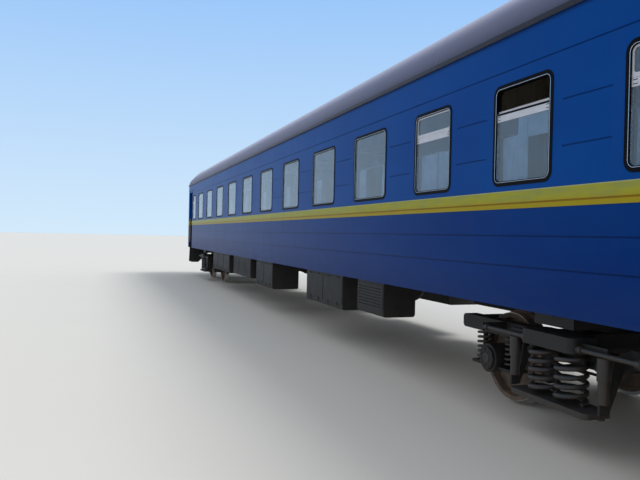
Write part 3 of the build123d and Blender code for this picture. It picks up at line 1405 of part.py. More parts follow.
def bogie_frame():
    """Dipped side beams, cross and end beams, and the posts, lugs and arms on them."""
    top, low = FRAME_TOP_Z, FRAME_LOW_Z
    outline = Polyline(
        (-FRAME_HALF, low), (-DIP_OUTER_X, low), (-DIP_INNER_X, low - FRAME_DIP),
        (DIP_INNER_X, low - FRAME_DIP), (DIP_OUTER_X, low), (FRAME_HALF, low),
        (FRAME_HALF, top), (DIP_OUTER_X, top), (DIP_INNER_X, top - FRAME_DIP),
        (-DIP_INNER_X, top - FRAME_DIP), (-DIP_OUTER_X, top), (-FRAME_HALF, top), close=True)
    side_face = make_face(outline)
    side_face = fillet(side_face.vertices(), FRAME_R)
    in_y, out_y = FRAME_Y - FRAME_W / 2, FRAME_Y + FRAME_W / 2
    beam = across(side_face, in_y, out_y)
    pieces = [beam, mirrored(beam, Plane.XZ)]
    reach = in_y - SEAT_GAP
    cross_top = top - FRAME_DIP - BEAM_INSET
    for way in ENDS:
        x = way * CROSS_BEAM_X
        pieces.append(block(x - CROSS_BEAM_W / 2, x + CROSS_BEAM_W / 2, -reach, reach,
                            low - FRAME_DIP + BEAM_INSET, cross_top))
        pieces.append(block(way * (FRAME_HALF - END_BEAM_W), way * FRAME_HALF, -reach, reach,
                            low + 3 * BEAM_INSET, top - 2 * BEAM_INSET))
    # One quarter's posts, lugs and brackets, each on the face of its beam
    bits = []
    for way in ENDS:
        x = WHEELBASE / 2 + way * WING_X
        bits.append(rod((x, FRAME_Y, WING_LOW_Z - POST_BELOW),
                        (x, FRAME_Y, low - SEAT_GAP), POST_R))
    seat = out_y + SEAT_GAP
    lug = block(LINK_X - LINK_NUT_R, LINK_X + LINK_NUT_R, seat, LINK_Y + LINK_NUT_R,
                low - LINK_LUG_Z, low)
    bits.append(lug - rod((LINK_X, LINK_Y, low - LINK_LUG_Z - 1),
                          (LINK_X, LINK_Y, low + 1), LINK_R + SEAT_GAP))
    arm_y0, arm_y1, foot = DAMPER_Y - DAMPER_R, DAMPER_Y + DAMPER_R, DAMPER_FOOT_Z
    arm = Polyline((seat, top - FRAME_H / 2), (seat, low - ARM_DROP),
                   (arm_y0, foot - 2 * DAMPER_R), (arm_y1, foot - 2 * DAMPER_R),
                   (arm_y1, foot), (arm_y0, foot), (LINK_Y, top - FRAME_H / 2), close=True)
    bits.append(along(make_face(arm), DAMPER_X - BEAM_INSET, DAMPER_X + BEAM_INSET))
    bits.append(block(TIE_X, TIE_X + DAMPER_LUG_T, seat, TIE_Y + TIE_BUSH_R,
                      top - FRAME_H / 2, top))
    bits.append(block(CROSS_BEAM_X + CROSS_BEAM_W / 2 + SEAT_GAP,
                      WHEELBASE / 2 - HANGER_X + 2 * HANGER_R, SHOE_Y - SHOE_W / 4,
                      SHOE_Y + SHOE_W / 4, cross_top - HANGER_BRACKET_T, cross_top))
    for bit in bits:
        pieces += four_ways(bit)
    return pieces


def bogie_bolster():
    """The bolster over the side beams, with spring seats, bearer pads and centre pin."""
    low, top = BOLSTER_LOW_Z, BOLSTER_TOP_Z
    beam = block(-BOLSTER_W / 2, BOLSTER_W / 2, -BOLSTER_HALF_Y, BOLSTER_HALF_Y, low, top)
    for side in SIDES:
        wing = block(-BOLSTER_WING_X, BOLSTER_WING_X, side * (SPRING_Y - SPRING_D / 2),
                     side * BOLSTER_HALF_Y, low, top)
        wing = fillet(wing.edges().filter_by(Axis.Z), BOLSTER_WING_R)
        beam += wing
        beam += block(-BEARER_PAD_X, BEARER_PAD_X, side * (BEARER_PAD_Y - BEARER_PAD_W / 2),
                      side * (BEARER_PAD_Y + BEARER_PAD_W / 2), top - 1, SIDE_BEARER_Z)
    lug = block(BOLSTER_WING_X - 1, DAMPER_X + DAMPER_SHROUD_R, DAMPER_Y - DAMPER_LUG_T / 2,
                DAMPER_Y + DAMPER_LUG_T / 2, top - 2 * DAMPER_LUG_T, top - DAMPER_LUG_T)
    for item in four_ways(lug):
        beam += item
    beam += Pos(0, 0, top - 1) * extrude(Circle(CENTRE_PLATE_R), CENTRE_PLATE_H)
    beam += Pos(0, 0, top - 1) * extrude(
        Circle(PIVOT_R), BODY_BOLSTER_Z + PIVOT_DEEP - PIVOT_R / 4 - top)
    return beam


def bogie_suspension():
    """Coil springs, spring pans, swing links, dampers and the bolster's ties."""
    pan_top = PAN_LOW_Z + PAN_T
    tall = BOLSTER_LOW_Z - pan_top - 2 * SEAT_GAP
    big = coil((SPRING_D - SPRING_WIRE) / 2, SPRING_WIRE, tall, SPRING_TURNS)
    seat_z = WING_LOW_Z + WING_T + SEAT_GAP
    small = coil((BOX_SPRING_D - BOX_SPRING_WIRE) / 2, BOX_SPRING_WIRE,
                 FRAME_LOW_Z - SEAT_GAP - seat_z, BOX_SPRING_TURNS)
    pieces = []
    for side in SIDES:
        for way in ENDS:
            pieces.append(Pos(way * SPRING_X, side * SPRING_Y, pan_top + SEAT_GAP) * big)
            for near in ENDS:
                x = way * WHEELBASE / 2 + near * WING_X
                pieces.append(Pos(x, side * FRAME_Y, seat_z) * small)
        pan = Pos(0, side * SPRING_Y, PAN_LOW_Z) * extrude(
            RectangleRounded(2 * PAN_X, PAN_W, PAN_R), PAN_T)
        for way in ENDS:
            pan -= rod((way * LINK_X, side * LINK_Y, PAN_LOW_Z - 1),
                       (way * LINK_X, side * LINK_Y, pan_top + 1), LINK_R + SEAT_GAP)
        pieces.append(pan)
    lug_top = FRAME_LOW_Z
    nut_low = PAN_LOW_Z - SEAT_GAP - LINK_NUT_H
    link = rod((LINK_X, LINK_Y, nut_low), (LINK_X, LINK_Y, lug_top + LINK_NUT_H), LINK_R)
    for z in (nut_low, lug_top + SEAT_GAP):
        link += Pos(LINK_X, LINK_Y, z) * extrude(RegularPolygon(LINK_NUT_R, 6), LINK_NUT_H)
    pieces += four_ways(link)
    damper_top = BOLSTER_TOP_Z - 2 * DAMPER_LUG_T - SEAT_GAP
    foot = DAMPER_FOOT_Z + SEAT_GAP
    span = damper_top - foot
    damper = Pos(DAMPER_X, DAMPER_Y, foot) * extrude(
        Circle(DAMPER_R), span * DAMPER_TUBE_SHARE)
    shroud = span * DAMPER_SHROUD_SHARE
    damper += Pos(DAMPER_X, DAMPER_Y, foot + shroud) * extrude(Circle(DAMPER_SHROUD_R), shroud)
    damper += Pos(DAMPER_X, DAMPER_Y, foot) * extrude(Circle(DAMPER_R / 2), span)
    pieces += four_ways(damper)
    tie_z = FRAME_TOP_Z - FRAME_H / 4
    x0, x1 = BOLSTER_WING_X + SEAT_GAP, TIE_X - SEAT_GAP
    tie = rod((x0, TIE_Y, tie_z), (x1, TIE_Y, tie_z), TIE_R)
    for x in (x0, x1 - TIE_BUSH_L):
        tie += rod((x, TIE_Y, tie_z), (x + TIE_BUSH_L, TIE_Y, tie_z), TIE_BUSH_R)
    pieces += four_ways(tie)
    return pieces


def axle_boxes():
    """Four axle boxes, each with a blind bore for the journal and two spring wings."""
    box = Pos(0, BOX_IN_Y, 0) * Rot(-90, 0, 0) * extrude(
        Circle(AXLE_BOX_R), BOX_OUT_Y - BOX_IN_Y)
    box += Pos(0, BOX_OUT_Y, 0) * Rot(-90, 0, 0) * extrude(Circle(BOX_COVER_R), BOX_COVER_T)
    wing_z = WING_LOW_Z - AXLE_Z
    wing_half = BOX_SPRING_D / 2 + WING_SPARE
    box += block(-WING_REACH, WING_REACH, FRAME_Y - wing_half, FRAME_Y + wing_half,
                 wing_z, wing_z + WING_T)
    for way in ENDS:
        x = way * WING_X
        box -= rod((x, FRAME_Y, wing_z - 1), (x, FRAME_Y, wing_z + WING_T + 1),
                   POST_R + SEAT_GAP)
    end_y = AXLE_LENGTH / 2 + BEARING_CLEAR
    box -= rod((0, BOX_IN_Y - 1, 0), (0, end_y, 0), JOURNAL_R + BEARING_CLEAR)
    guard_end = GUARD_Y + GUARD_TAPER + BEARING_CLEAR
    box -= rod((0, BOX_IN_Y - 1, 0), (0, guard_end, 0), GUARD_R + BEARING_CLEAR)
    return four_ways(Pos(WHEELBASE / 2, 0, AXLE_Z) * box)


def brake_gear():
    """Clasp brakes: a pair of shoes on hangers and a beam on each side of each axle."""
    inner_r = WHEEL_R + SHOE_GAP
    back_r = inner_r + SHOE_T + SHOE_BACK_T
    reach = 2 * back_r
    spread = reach * sin(radians(SHOE_DEG))
    wedge = Polyline((0, 0), (reach, spread), (reach, -spread), close=True)
    shoe = (Circle(back_r) - Circle(inner_r)) & make_face(wedge)
    # Outer hangers reach the end beam, inner ones the bracket on the cross beam
    outer_top = FRAME_LOW_Z + 3 * BEAM_INSET
    inner_top = FRAME_TOP_Z - FRAME_DIP - BEAM_INSET - HANGER_BRACKET_T
    pieces = []
    for top, face in ((outer_top, 1), (inner_top, -1)):
        brake = rod((BRAKE_BEAM_X, -SHOE_Y, 0), (BRAKE_BEAM_X, SHOE_Y, 0), BRAKE_BEAM_R)
        for y in (-SHOE_Y, SHOE_Y):
            brake += across(shoe, y - SHOE_W / 2, y + SHOE_W / 2)
            brake += rod((HANGER_X, y, 0), (HANGER_X, y, top - SEAT_GAP - AXLE_Z), HANGER_R)
        brake += block(BRAKE_BEAM_X - BRAKE_LEVER_T / 2, BRAKE_BEAM_X + BRAKE_LEVER_T / 2,
                       -BRAKE_LEVER_W / 2, BRAKE_LEVER_W / 2, -BRAKE_LEVER_DOWN, BRAKE_LEVER_UP)
        if face < 0:
            brake = mirrored(brake, Plane.YZ)
        brake = Pos(WHEELBASE / 2, 0, AXLE_Z) * brake
        pieces += [brake, mirrored(brake, Plane.YZ)]
    # A strut under each axle joins the feet of its two levers
    half = BRAKE_BEAM_X - BRAKE_LEVER_T / 2 - SEAT_GAP
    z = AXLE_Z - BRAKE_STRUT_DROP
    for way in ENDS:
        x = way * WHEELBASE / 2
        pieces.append(rod((x - half, 0, z), (x + half, 0, z), BRAKE_STRUT_R))
    return pieces


def wheelset(x):
    """An axle with its two wheels, one revolved body."""
    inside = BACK_TO_BACK / 2
    outside = inside + TYRE_W
    hub_in, hub_out = inside - HUB_PROUD, inside - HUB_PROUD + HUB_L
    rim_r = WHEEL_R - RIM_T
    # Columns: radius, distance from the middle of the axle
    half = Polyline(
        (0, 0), (AXLE_R, 0), (AXLE_R, hub_in - AXLE_STEP), (WHEEL_SEAT_R, hub_in),
        (HUB_R - RIM_CHAMFER, hub_in), (HUB_R, inside + WEB_DISH),
        (rim_r, inside + RIM_CHAMFER), (rim_r + RIM_CHAMFER, inside), (WHEEL_R + TREAD_R, inside),
        (WHEEL_R + FLANGE_DEPTH, inside + FLANGE_W / 3), (WHEEL_R + TREAD_CONE, inside + FLANGE_W),
        (WHEEL_R - TREAD_CONE, outside), (rim_r + RIM_CHAMFER, outside),
        (rim_r, inside + WEB_DISH + WEB_T / 2), (HUB_R, inside + WEB_DISH + WEB_T),
        (HUB_R - RIM_CHAMFER, hub_out), (GUARD_R, hub_out), (GUARD_R, GUARD_Y),
        (JOURNAL_R, GUARD_Y + GUARD_TAPER), (JOURNAL_R, AXLE_LENGTH / 2 - GUARD_TAPER),
        (JOURNAL_R - GUARD_TAPER, AXLE_LENGTH / 2), (0, AXLE_LENGTH / 2), close=True)
    one = revolve(make_face(half), Axis.Y)
    return Pos(x, 0, AXLE_Z) * (one + mirrored(one, Plane.XZ))


os.makedirs("parts", exist_ok=True)

wall = side_wall()
save("side_wall_corridor", wall)
save("side_wall_platform", mirrored(wall, Plane.XZ))
save("end_wall_near", end_wall(1))
save("end_wall_far", end_wall(-1))
save("roof", [roof_shell()] + roof_vents())
save("roof_ends", [roof_end(end) for end in ENDS])
save("floor", floor_panels())
save("underframe", underframe())
save("steps", steps())

seals = window_seals()
save("window_seals", seals + [mirrored(item, Plane.XZ) for item in seals])
closed_frames, closed_panes = vent_parts()
open_frames, open_panes = vent_parts(tilted_at=service_middle(OPEN_VENT_ROOM))
panes = window_glass()
save("window_glass", panes + closed_panes
     + [mirrored(item, Plane.XZ) for item in panes + open_panes])
save("vent_frames", closed_frames + [mirrored(item, Plane.XZ) for item in open_frames])

save("room_walls", inner_walls())
save("ceiling", ceiling())
save("berth_frames", berth_frames())
save("berth_cushions", berth_cushions())
save("tables", tables())
rods = curtain_rods()
save("curtain_rods", rods + [mirrored(item, Plane.XZ) for item in rods])
cloths = curtains()
save("curtains", cloths + [mirrored(item, Plane.XZ) for item in cloths])

save("couplers", [make(end) for make in (coupler, release_gear) for end in ENDS])
save("buffers", [buffer(end, side) for end in ENDS for side in SIDES])
save("gangway_frames", [gangway_frame(end) for end in ENDS])
save("gangway_tubes", gangway_tubes(1) + gangway_tubes(-1))
save("tail_lamps", tail_lamps())
save("underfloor_boxes", hung_boxes())
save("air_tanks", air_tanks())
save("brake_rigging", brake_rigging() + pipes())
save("handrails", handrails())

for end, end_name in ((1, "near"), (-1, "far")):
    leaf, glass = end_door(end)
    save(f"end_door_{end_name}", leaf)
    save(f"end_door_glass_{end_name}", glass)
    save(f"bridge_plate_{end_name}", bridge_plate(end))
    for side, side_name in ((-1, "platform"), (1, "corridor")):
        leaf, glass = side_door(end, side)
        save(f"side_door_{end_name}_{side_name}", leaf)
        save(f"door_glass_{end_name}_{side_name}", glass)
        save(f"step_flap_{end_name}_{side_name}", step_flap(end, side))

frame_parts, bolster_part = bogie_frame(), bogie_bolster()
suspension_parts, box_parts, brake_parts = bogie_suspension(), axle_boxes(), brake_gear()
for end, end_name in ((1, "near"), (-1, "far")):
    place = Pos(end * PIVOT_X, 0, 0)
    save(f"bogie_{end_name}_frame", [place * item for item in frame_parts])
    save(f"bogie_{end_name}_bolster", place * bolster_part)
    save(f"bogie_{end_name}_suspension", [place * item for item in suspension_parts])
    save(f"bogie_{end_name}_axle_boxes", [place * item for item in box_parts])
    save(f"bogie_{end_name}_brakes", [place * item for item in brake_parts])

for number, x in enumerate((PIVOT_X + WHEELBASE / 2, PIVOT_X - WHEELBASE / 2,
                            WHEELBASE / 2 - PIVOT_X, -WHEELBASE / 2 - PIVOT_X), start=1):
    save(f"wheelset_{number}", wheelset(x))
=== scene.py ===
import math
import random

import bmesh
import bpy
from mathutils import Matrix, Vector


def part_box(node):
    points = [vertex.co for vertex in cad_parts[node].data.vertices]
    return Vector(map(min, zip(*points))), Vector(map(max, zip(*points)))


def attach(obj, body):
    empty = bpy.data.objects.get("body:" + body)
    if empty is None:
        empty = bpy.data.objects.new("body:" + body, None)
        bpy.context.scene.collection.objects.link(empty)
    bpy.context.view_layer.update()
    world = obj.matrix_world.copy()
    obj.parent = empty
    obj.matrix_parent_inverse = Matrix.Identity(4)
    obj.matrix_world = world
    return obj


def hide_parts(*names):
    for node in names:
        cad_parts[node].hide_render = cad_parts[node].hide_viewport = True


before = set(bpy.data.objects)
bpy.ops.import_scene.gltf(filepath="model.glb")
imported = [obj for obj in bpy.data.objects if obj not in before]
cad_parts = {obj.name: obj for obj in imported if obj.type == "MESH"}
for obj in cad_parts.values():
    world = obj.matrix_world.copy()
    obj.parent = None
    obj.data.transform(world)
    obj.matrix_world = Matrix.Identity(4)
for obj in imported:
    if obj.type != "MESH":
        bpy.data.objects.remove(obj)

print("coach: frame loaded with", len(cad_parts), "pieces")

# A fresh file's own cube, lamp and camera go first
for spare in ("Cube", "Light", "Camera"):
    if spare in bpy.data.objects:
        bpy.data.objects.remove(bpy.data.objects[spare], do_unlink=True)
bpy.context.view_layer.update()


def middleOf(low, high):
    return [(a + b) / 2 for a, b in zip(low, high)]


# Camera, floor and light

photoView = {
    "place": (14.014, -5.098, 1.767),  # m
    "turn": 19.447,  # degrees from the length of the coach towards its side
    "dip": 0.468,  # degrees under the horizon
    "roll": 1.283,  # degrees, its right side up
    "lens": 35.5,
    "sensor": 36.0,
}


def setCamera():
    turn, dip, roll = (math.radians(photoView[name]) for name in ("turn", "dip", "roll"))
    lens = bpy.data.cameras.new("platform_view")
    lens.lens, lens.sensor_width = photoView["lens"], photoView["sensor"]
    lens.clip_start, lens.clip_end = 0.05, 500
    eye = bpy.data.objects.new("platform_view", lens)
    way = Vector((-math.cos(turn) * math.cos(dip), math.sin(turn) * math.cos(dip), -math.sin(dip)))
    right = way.cross(Vector((0, 0, 1))).normalized()
    up = right.cross(way)
    axes = (right * math.cos(roll) + up * math.sin(roll), up * math.cos(roll) - right * math.sin(roll),
            -way)
    eye.location = photoView["place"]
    eye.rotation_euler = Matrix(axes).transposed().to_euler()
    bpy.context.scene.collection.objects.link(eye)
    bpy.context.scene.camera = eye


# Shader building


def put(tree, kind, inputs=None, **settings):
    made = tree.nodes.new("ShaderNode" + kind)
    for name, value in settings.items():
        setattr(made, name, value)
    for name, value in (inputs or {}).items():
        if isinstance(value, bpy.types.NodeSocket):
            tree.links.new(value, made.inputs[name])
        else:
            made.inputs[name].default_value = value
    return made


def sums(tree, how, first, second=0.0):
    return put(tree, "Math", {0: first, 1: second}, operation=how).outputs[0]


def fade(tree, value, low, high, atLow=0.0, atHigh=1.0):
    return put(tree, "MapRange", {"Value": value, "From Min": low, "From Max": high,
                                  "To Min": atLow, "To Max": atHigh}).outputs[0]


# The finishes' dictionaries hold their cloudy patterns as scale, detail and stretch
def mottle(tree, where, scale, detail, stretch=(1, 1, 1)):
    spot = put(tree, "Mapping", {"Vector": where, "Scale": stretch}).outputs[0]
    return put(tree, "TexNoise", {"Vector": spot, "Scale": scale, "Detail": detail}).outputs[0]


def cells(tree, where, scale):
    return put(tree, "TexVoronoi", {"Vector": where, "Scale": scale}).outputs["Distance"]


def blendColour(tree, share, first, second):
    return put(tree, "Mix", {0: share, 6: first, 7: second}, data_type="RGBA").outputs[2]


def between(tree, value, low, high, soft=0.002):
    up = fade(tree, value, low - soft, low + soft)
    down = fade(tree, value, high - soft, high + soft, 1.0, 0.0)
    return sums(tree, "MULTIPLY", up, down)


def relief(tree, shader, layers):
    # Each layer is a height, its strength and its depth in metres; one bump lies on the next
    last = None
    for height, strength, depth in layers:
        inputs = {"Height": height, "Strength": strength, "Distance": depth}
        if last is not None:
            inputs["Normal"] = last
        last = put(tree, "Bump", inputs).outputs[0]
    tree.links.new(last, shader.inputs["Normal"])


def startFinish(name, **look):
    # look holds what is the same all over the surface, set on the shader's own sockets
    mat = bpy.data.materials.new(name)
    mat.use_nodes = True
    tree = mat.node_tree
    shader = tree.nodes["Principled BSDF"]
    for socket, value in look.items():
        shader.inputs[socket.replace("_", " ")].default_value = value
    where = put(tree, "TexCoord").outputs["Object"]
    axes = put(tree, "SeparateXYZ", {0: where}).outputs
    return mat, tree, shader, where, axes


def colourFrom(tree, shader, colour):
    tree.links.new(colour, shader.inputs["Base Color"])


def colourByPattern(tree, shader, pattern, low, high, first, second):
    colourFrom(tree, shader, blendColour(tree, fade(tree, pattern, low, high), first, second))


def roughnessFrom(tree, shader, value, low, high):
    tree.links.new(fade(tree, value, 0.0, 1.0, low, high), shader.inputs["Roughness"])


lightPlan = {
    "daylight": (0.95, 0.97, 1.0, 1), "daylightStrength": 0.78,
    # The sky's colour from the skyline up to this height on its dome, and above it
    "skyline": (0.65, 0.82, 0.97, 1), "zenithFrom": 0.5, "zenith": (0.19, 0.47, 0.95, 1),
    "sunStrength": 1.8, "sunSize": 24, "sunFrom": (0.25, 0.62, 1.0),
}


def setLight():
    world = bpy.data.worlds.new("studio")
    world.use_nodes = True
    bpy.context.scene.world = world
    tree = world.node_tree
    tree.nodes.clear()
    up = put(tree, "SeparateXYZ", {0: put(tree, "TexCoord").outputs["Generated"]}).outputs[2]
    seen = blendColour(tree, fade(tree, up, 0.0, lightPlan["zenithFrom"]),
                       lightPlan["skyline"], lightPlan["zenith"])
    rays = put(tree, "LightPath").outputs
    shown = sums(tree, "MAXIMUM", rays["Is Camera Ray"],
                 sums(tree, "MAXIMUM", rays["Is Glossy Ray"], rays["Is Transmission Ray"]))
    lit = put(tree, "Background", {"Color": lightPlan["daylight"],
                                   "Strength": lightPlan["daylightStrength"]}).outputs[0]
    sky = put(tree, "Background", {"Color": seen, "Strength": 1.0}).outputs[0]
    both = put(tree, "MixShader", {0: shown, 1: lit, 2: sky}).outputs[0]
    put(tree, "OutputWorld", {0: both})
    sun = bpy.data.lights.new("high_lamp", "SUN")
    sun.energy, sun.angle = lightPlan["sunStrength"], math.radians(lightPlan["sunSize"])
    lamp = bpy.data.objects.new("high_lamp", sun)
    lamp.rotation_euler = (-Vector(lightPlan["sunFrom"])).to_track_quat("-Z", "Y").to_euler()
    bpy.context.scene.collection.objects.link(lamp)
    view = bpy.context.scene.view_settings
    view.view_transform = "Standard"


floorLook = {
    "colour": (0.66, 0.645, 0.60, 1), "shade": 0.985, "half": 260.0,
    "clouds": (0.35, 3.0), "grain": (60.0, 2.0),
}


def addFloor():
    look = floorLook
    mat, tree, shader, where, axes = startFinish("floor_plain", Roughness=0.85)
    shaded = [c * look["shade"] for c in look["colour"][:3]] + [1]
    colourByPattern(tree, shader, mottle(tree, where, *look["clouds"]), 0.3, 0.7, look["colour"],
                    shaded)
    relief(tree, shader, [(mottle(tree, where, *look["grain"]), 0.15, 0.002)])
    half = look["half"]
    mesh = bpy.data.meshes.new("ground")
    mesh.from_pydata([(-half, -half, 0), (half, -half, 0), (half, half, 0), (-half, half, 0)], [],
                     [(0, 1, 2, 3)])
    mesh.materials.append(mat)
    ground = bpy.data.objects.new("ground", mesh)
    bpy.context.scene.collection.objects.link(ground)


setCamera()
setLight()
addFloor()
print("coach: camera, light and floor set")


# Finishes of the body

wallLow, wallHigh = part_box("side_wall_platform")
wallLook = {
    "blue": (0.0010, 0.045, 0.240, 1), "fadedBlue": (0.0020, 0.060, 0.280, 1),
    "shadedBlue": (0.0010, 0.010, 0.095, 1),
    "yellow": (0.32, 0.32, 0.035, 1), "wornYellow": (0.24, 0.275, 0.085, 1),
    "rustAndShadeLine": (0.25, 0.145, 0.012, 1), "dust": (0.045, 0.060, 0.10, 1),
    "paleHighlight": (0.34, 0.38, 0.20, 1), "gold": (0.33, 0.26, 0.012, 1),
    "grooveDark": (0.002, 0.006, 0.03, 1), "lining": (0.46, 0.42, 0.33, 1),
    # Heights on the wall in metres, and how far what lies there reaches
    "sill": wallLow[2], "dustReach": 0.5, "eave": wallHigh[2], "eaveReach": 0.05,
    "bandLow": 2.046, "bandHigh": 2.212, "lipLow": 0.011, "lipHigh": 0.007,
    "grooveLow": 2.087, "grooveHigh": 2.103, "rustAndShadeSoft": 0.003, "goldUnder": 0.004, "goldOver": 0.035,
    # From the middle of the coach, across it and along it
    "grooveFloor": 1.5045, "grooveSoft": 0.0005, "endFace": 12.70, "bay": 11.605, "edge": 0.002,
    # How much of what lies under it each colour covers
    "shadeAtSill": 0.62, "shadeAtBand": 0.42, "grooveShade": 0.4, "eaveShade": 0.8,
    "paleShare": 0.8, "goldShare": 0.9, "rustAndShadeShare": 0.9, "dustAtSill": 0.22, "streakShare": 0.10,
    "clouds": (0.9, 4.0, (0.6, 1, 1.6)), "wear": (7.0, 5.0, (0.5, 1, 2.5)),
    "streaks": (9.0, 4.0, (1, 1, 0.05)), "ripple": (1.3, 2.0, (1, 1, 0.55)), "peel": (160.0, 2.0),
    "rough": (0.32, 0.8),
}


def paintWall(name, innerFace, bayDeep):
    look = wallLook
    edge = look["edge"]
    mat, tree, shader, where, axes = startFinish(name, Specular_IOR_Level=0.05,
                                                 Specular_Tint=(0.35, 0.6, 1.0, 1))
    cloudy = mottle(tree, where, *look["clouds"])
    colour = blendColour(tree, fade(tree, cloudy, 0.3, 0.72), look["blue"], look["fadedBlue"])
    # Painted shade: the panels under the band are darker, more so towards the sill, as the low wall
    # gets less light
    lowShade = fade(tree, axes[2], look["sill"], look["bandLow"], look["shadeAtSill"],
                  look["shadeAtBand"])
    under = fade(tree, axes[2], look["bandLow"], look["bandHigh"], 1.0, 0.0)
    colour = blendColour(tree, sums(tree, "MULTIPLY", lowShade, under), colour, look["shadedBlue"])
    worn = mottle(tree, where, *look["wear"])
    side = sums(tree, "ABSOLUTE", axes[1])
    # Painted shade and dirt in the pressed grooves, and painted shadow with dirt on the strip right
    # under the eave's overhang
    sunk = between(tree, side, look["grooveFloor"] - edge, look["grooveFloor"], look["grooveSoft"])
    sunk = sums(tree, "MULTIPLY", sunk, look["grooveShade"])
    shaded = fade(tree, axes[2], look["eave"] - look["eaveReach"], look["eave"], 0.0,
                  look["eaveShade"])
    colour = blendColour(tree, sums(tree, "MAXIMUM", sunk, shaded), colour, look["grooveDark"])
    band = between(tree, axes[2], look["bandLow"], look["bandHigh"])
    yellow = blendColour(tree, fade(tree, worn, 0.42, 0.78), look["yellow"], look["wornYellow"])
    # Painted highlight: the band is greener and paler towards its top edge. It is golden under its
    # groove
    topHighlight = fade(tree, axes[2], look["bandHigh"] - look["lipLow"], look["bandHigh"] - look["lipHigh"],
               0.0, look["paleShare"])
    yellow = blendColour(tree, topHighlight, yellow, look["paleHighlight"])
    golden = fade(tree, axes[2], look["grooveLow"] - look["goldUnder"],
                  look["grooveHigh"] + look["goldOver"], look["goldShare"], 0.0)
    yellow = blendColour(tree, golden, yellow, look["gold"])
    # Rust and painted shade in the groove of the band
    groove = between(tree, axes[2], look["grooveLow"], look["grooveHigh"], look["rustAndShadeSoft"])
    yellow = blendColour(tree, sums(tree, "MULTIPLY", groove, look["rustAndShadeShare"]), yellow,
                         look["rustAndShadeLine"])
    colour = blendColour(tree, band, colour, yellow)
    # Rain draws the dust down in streaks, and it lies thicker towards the sill
    streaks = fade(tree, mottle(tree, where, *look["streaks"]), 0.5, 0.8)
    streaks = sums(tree, "MULTIPLY", streaks, look["streakShare"])
    low = fade(tree, axes[2], look["sill"], look["sill"] + look["dustReach"], look["dustAtSill"], 0.0)
    specks = fade(tree, worn, 0.35, 0.75, 0.45, 1.0)
    dirt = sums(tree, "MULTIPLY", specks, sums(tree, "MAXIMUM", low, streaks))
    colour = blendColour(tree, dirt, colour, look["dust"])
    # The end walls and the jambs of the door bays are painted as the outside is
    lengthways = sums(tree, "ABSOLUTE", axes[0])
    jamb = fade(tree, lengthways, look["bay"] - edge, look["bay"], 0.0, bayDeep)
    inside = fade(tree, sums(tree, "ADD", side, jamb), innerFace - edge, innerFace, 1.0, 0.0)
    notEnd = fade(tree, lengthways, look["endFace"] - edge, look["endFace"], 1.0, 0.0)
    inside = sums(tree, "MULTIPLY", inside, notEnd)
    colourFrom(tree, shader, blendColour(tree, inside, colour, look["lining"]))
    roughnessFrom(tree, shader, dirt, *look["rough"])
    relief(tree, shader, [(mottle(tree, where, *look["ripple"]), 0.45, 0.010),
                          (mottle(tree, where, *look["peel"]), 0.06, 0.0006)])
    return mat


roofLook = {
    "lilac": (0.130, 0.140, 0.235, 1), "chalk": (0.19, 0.20, 0.31, 1), "sootAndShade": (0.026, 0.032, 0.07, 1),
    "litCrownColour": (0.38, 0.38, 0.43, 1), "gutterShadeAndSoot": (0.010, 0.011, 0.017, 1),
    # Heights in metres
    "gutterTop": 3.708, "gutterFade": (3.707, 3.712), "shoulder": 0.42,
    "litCrownFade": (3.92, 4.22), "dirtFade": (3.7, 4.2),
    # Along the roof: half a sheet's length, and half the width of a weld's dirt and of its core
    "halfSheet": 1.92, "seam": 0.012, "seamCore": 0.0048,
    # How much of what lies under it each colour covers
    "litCrownShare": 0.8, "shoulderShadeShare": 0.8, "dirtLow": 0.55, "dirtHigh": 0.15, "seamShare": 0.5,
    "clouds": (1.6, 5.0, (0.5, 1, 1)), "streaks": (11.0, 4.0, (1, 0.05, 0.05)),
    "dents": (2.2, 2.0), "grain": (120.0, 2.0),
    "rough": (0.42, 0.75),
}


def paintRoof():
    look = roofLook
    # Chalky dust makes the roof look paler along its edge against the sky
    mat, tree, shader, where, axes = startFinish("roof_finish", Specular_IOR_Level=0.25,
                                                 Sheen_Weight=0.42, Sheen_Roughness=0.4,
                                                 Sheen_Tint=(0.78, 0.80, 1.0, 1))
    cloudy = mottle(tree, where, *look["clouds"])
    colour = blendColour(tree, fade(tree, cloudy, 0.3, 0.8), look["lilac"], look["chalk"])
    # Painted light: the crown, which faces the sky, is paler
    crownLight = fade(tree, axes[2], *look["litCrownFade"], 0.0, look["litCrownShare"])
    colour = blendColour(tree, crownLight, colour, look["litCrownColour"])
    streaks = fade(tree, mottle(tree, where, *look["streaks"]), 0.5, 0.8)
    low = fade(tree, axes[2], *look["dirtFade"], look["dirtLow"], look["dirtHigh"])
    dirt = sums(tree, "MULTIPLY", streaks, low)
    # Weld seams across the roof between its sheets
    along = sums(tree, "PINGPONG", axes[0], look["halfSheet"])
    seam = fade(tree, along, look["seamCore"], look["seam"], 1.0, 0.0)
    dirt = sums(tree, "MAXIMUM", dirt, sums(tree, "MULTIPLY", seam, look["seamShare"]))
    # Painted shade on the lower shoulder of the roof; the streaks and weld seams are real soot
    shoulder = fade(tree, axes[2], look["gutterTop"], look["gutterTop"] + look["shoulder"],
                    look["shoulderShadeShare"], 0.0)
    colour = blendColour(tree, sums(tree, "MAXIMUM", dirt, shoulder), colour, look["sootAndShade"])
    # Painted shade with soot on the gutter, which lies in the shadow of the roof's edge
    gutter = fade(tree, axes[2], *look["gutterFade"], 1.0, 0.0)
    colourFrom(tree, shader, blendColour(tree, gutter, colour, look["gutterShadeAndSoot"]))
    roughnessFrom(tree, shader, cloudy, *look["rough"])
    relief(tree, shader, [(mottle(tree, where, *look["dents"]), 0.4, 0.012), (seam, 0.6, 0.004),
                          (mottle(tree, where, *look["grain"]), 0.1, 0.0008)])
    return mat


# Finishes that differ only in their colours and numbers. Dirt covers most up to the height thick,
# and least from the height clear upwards

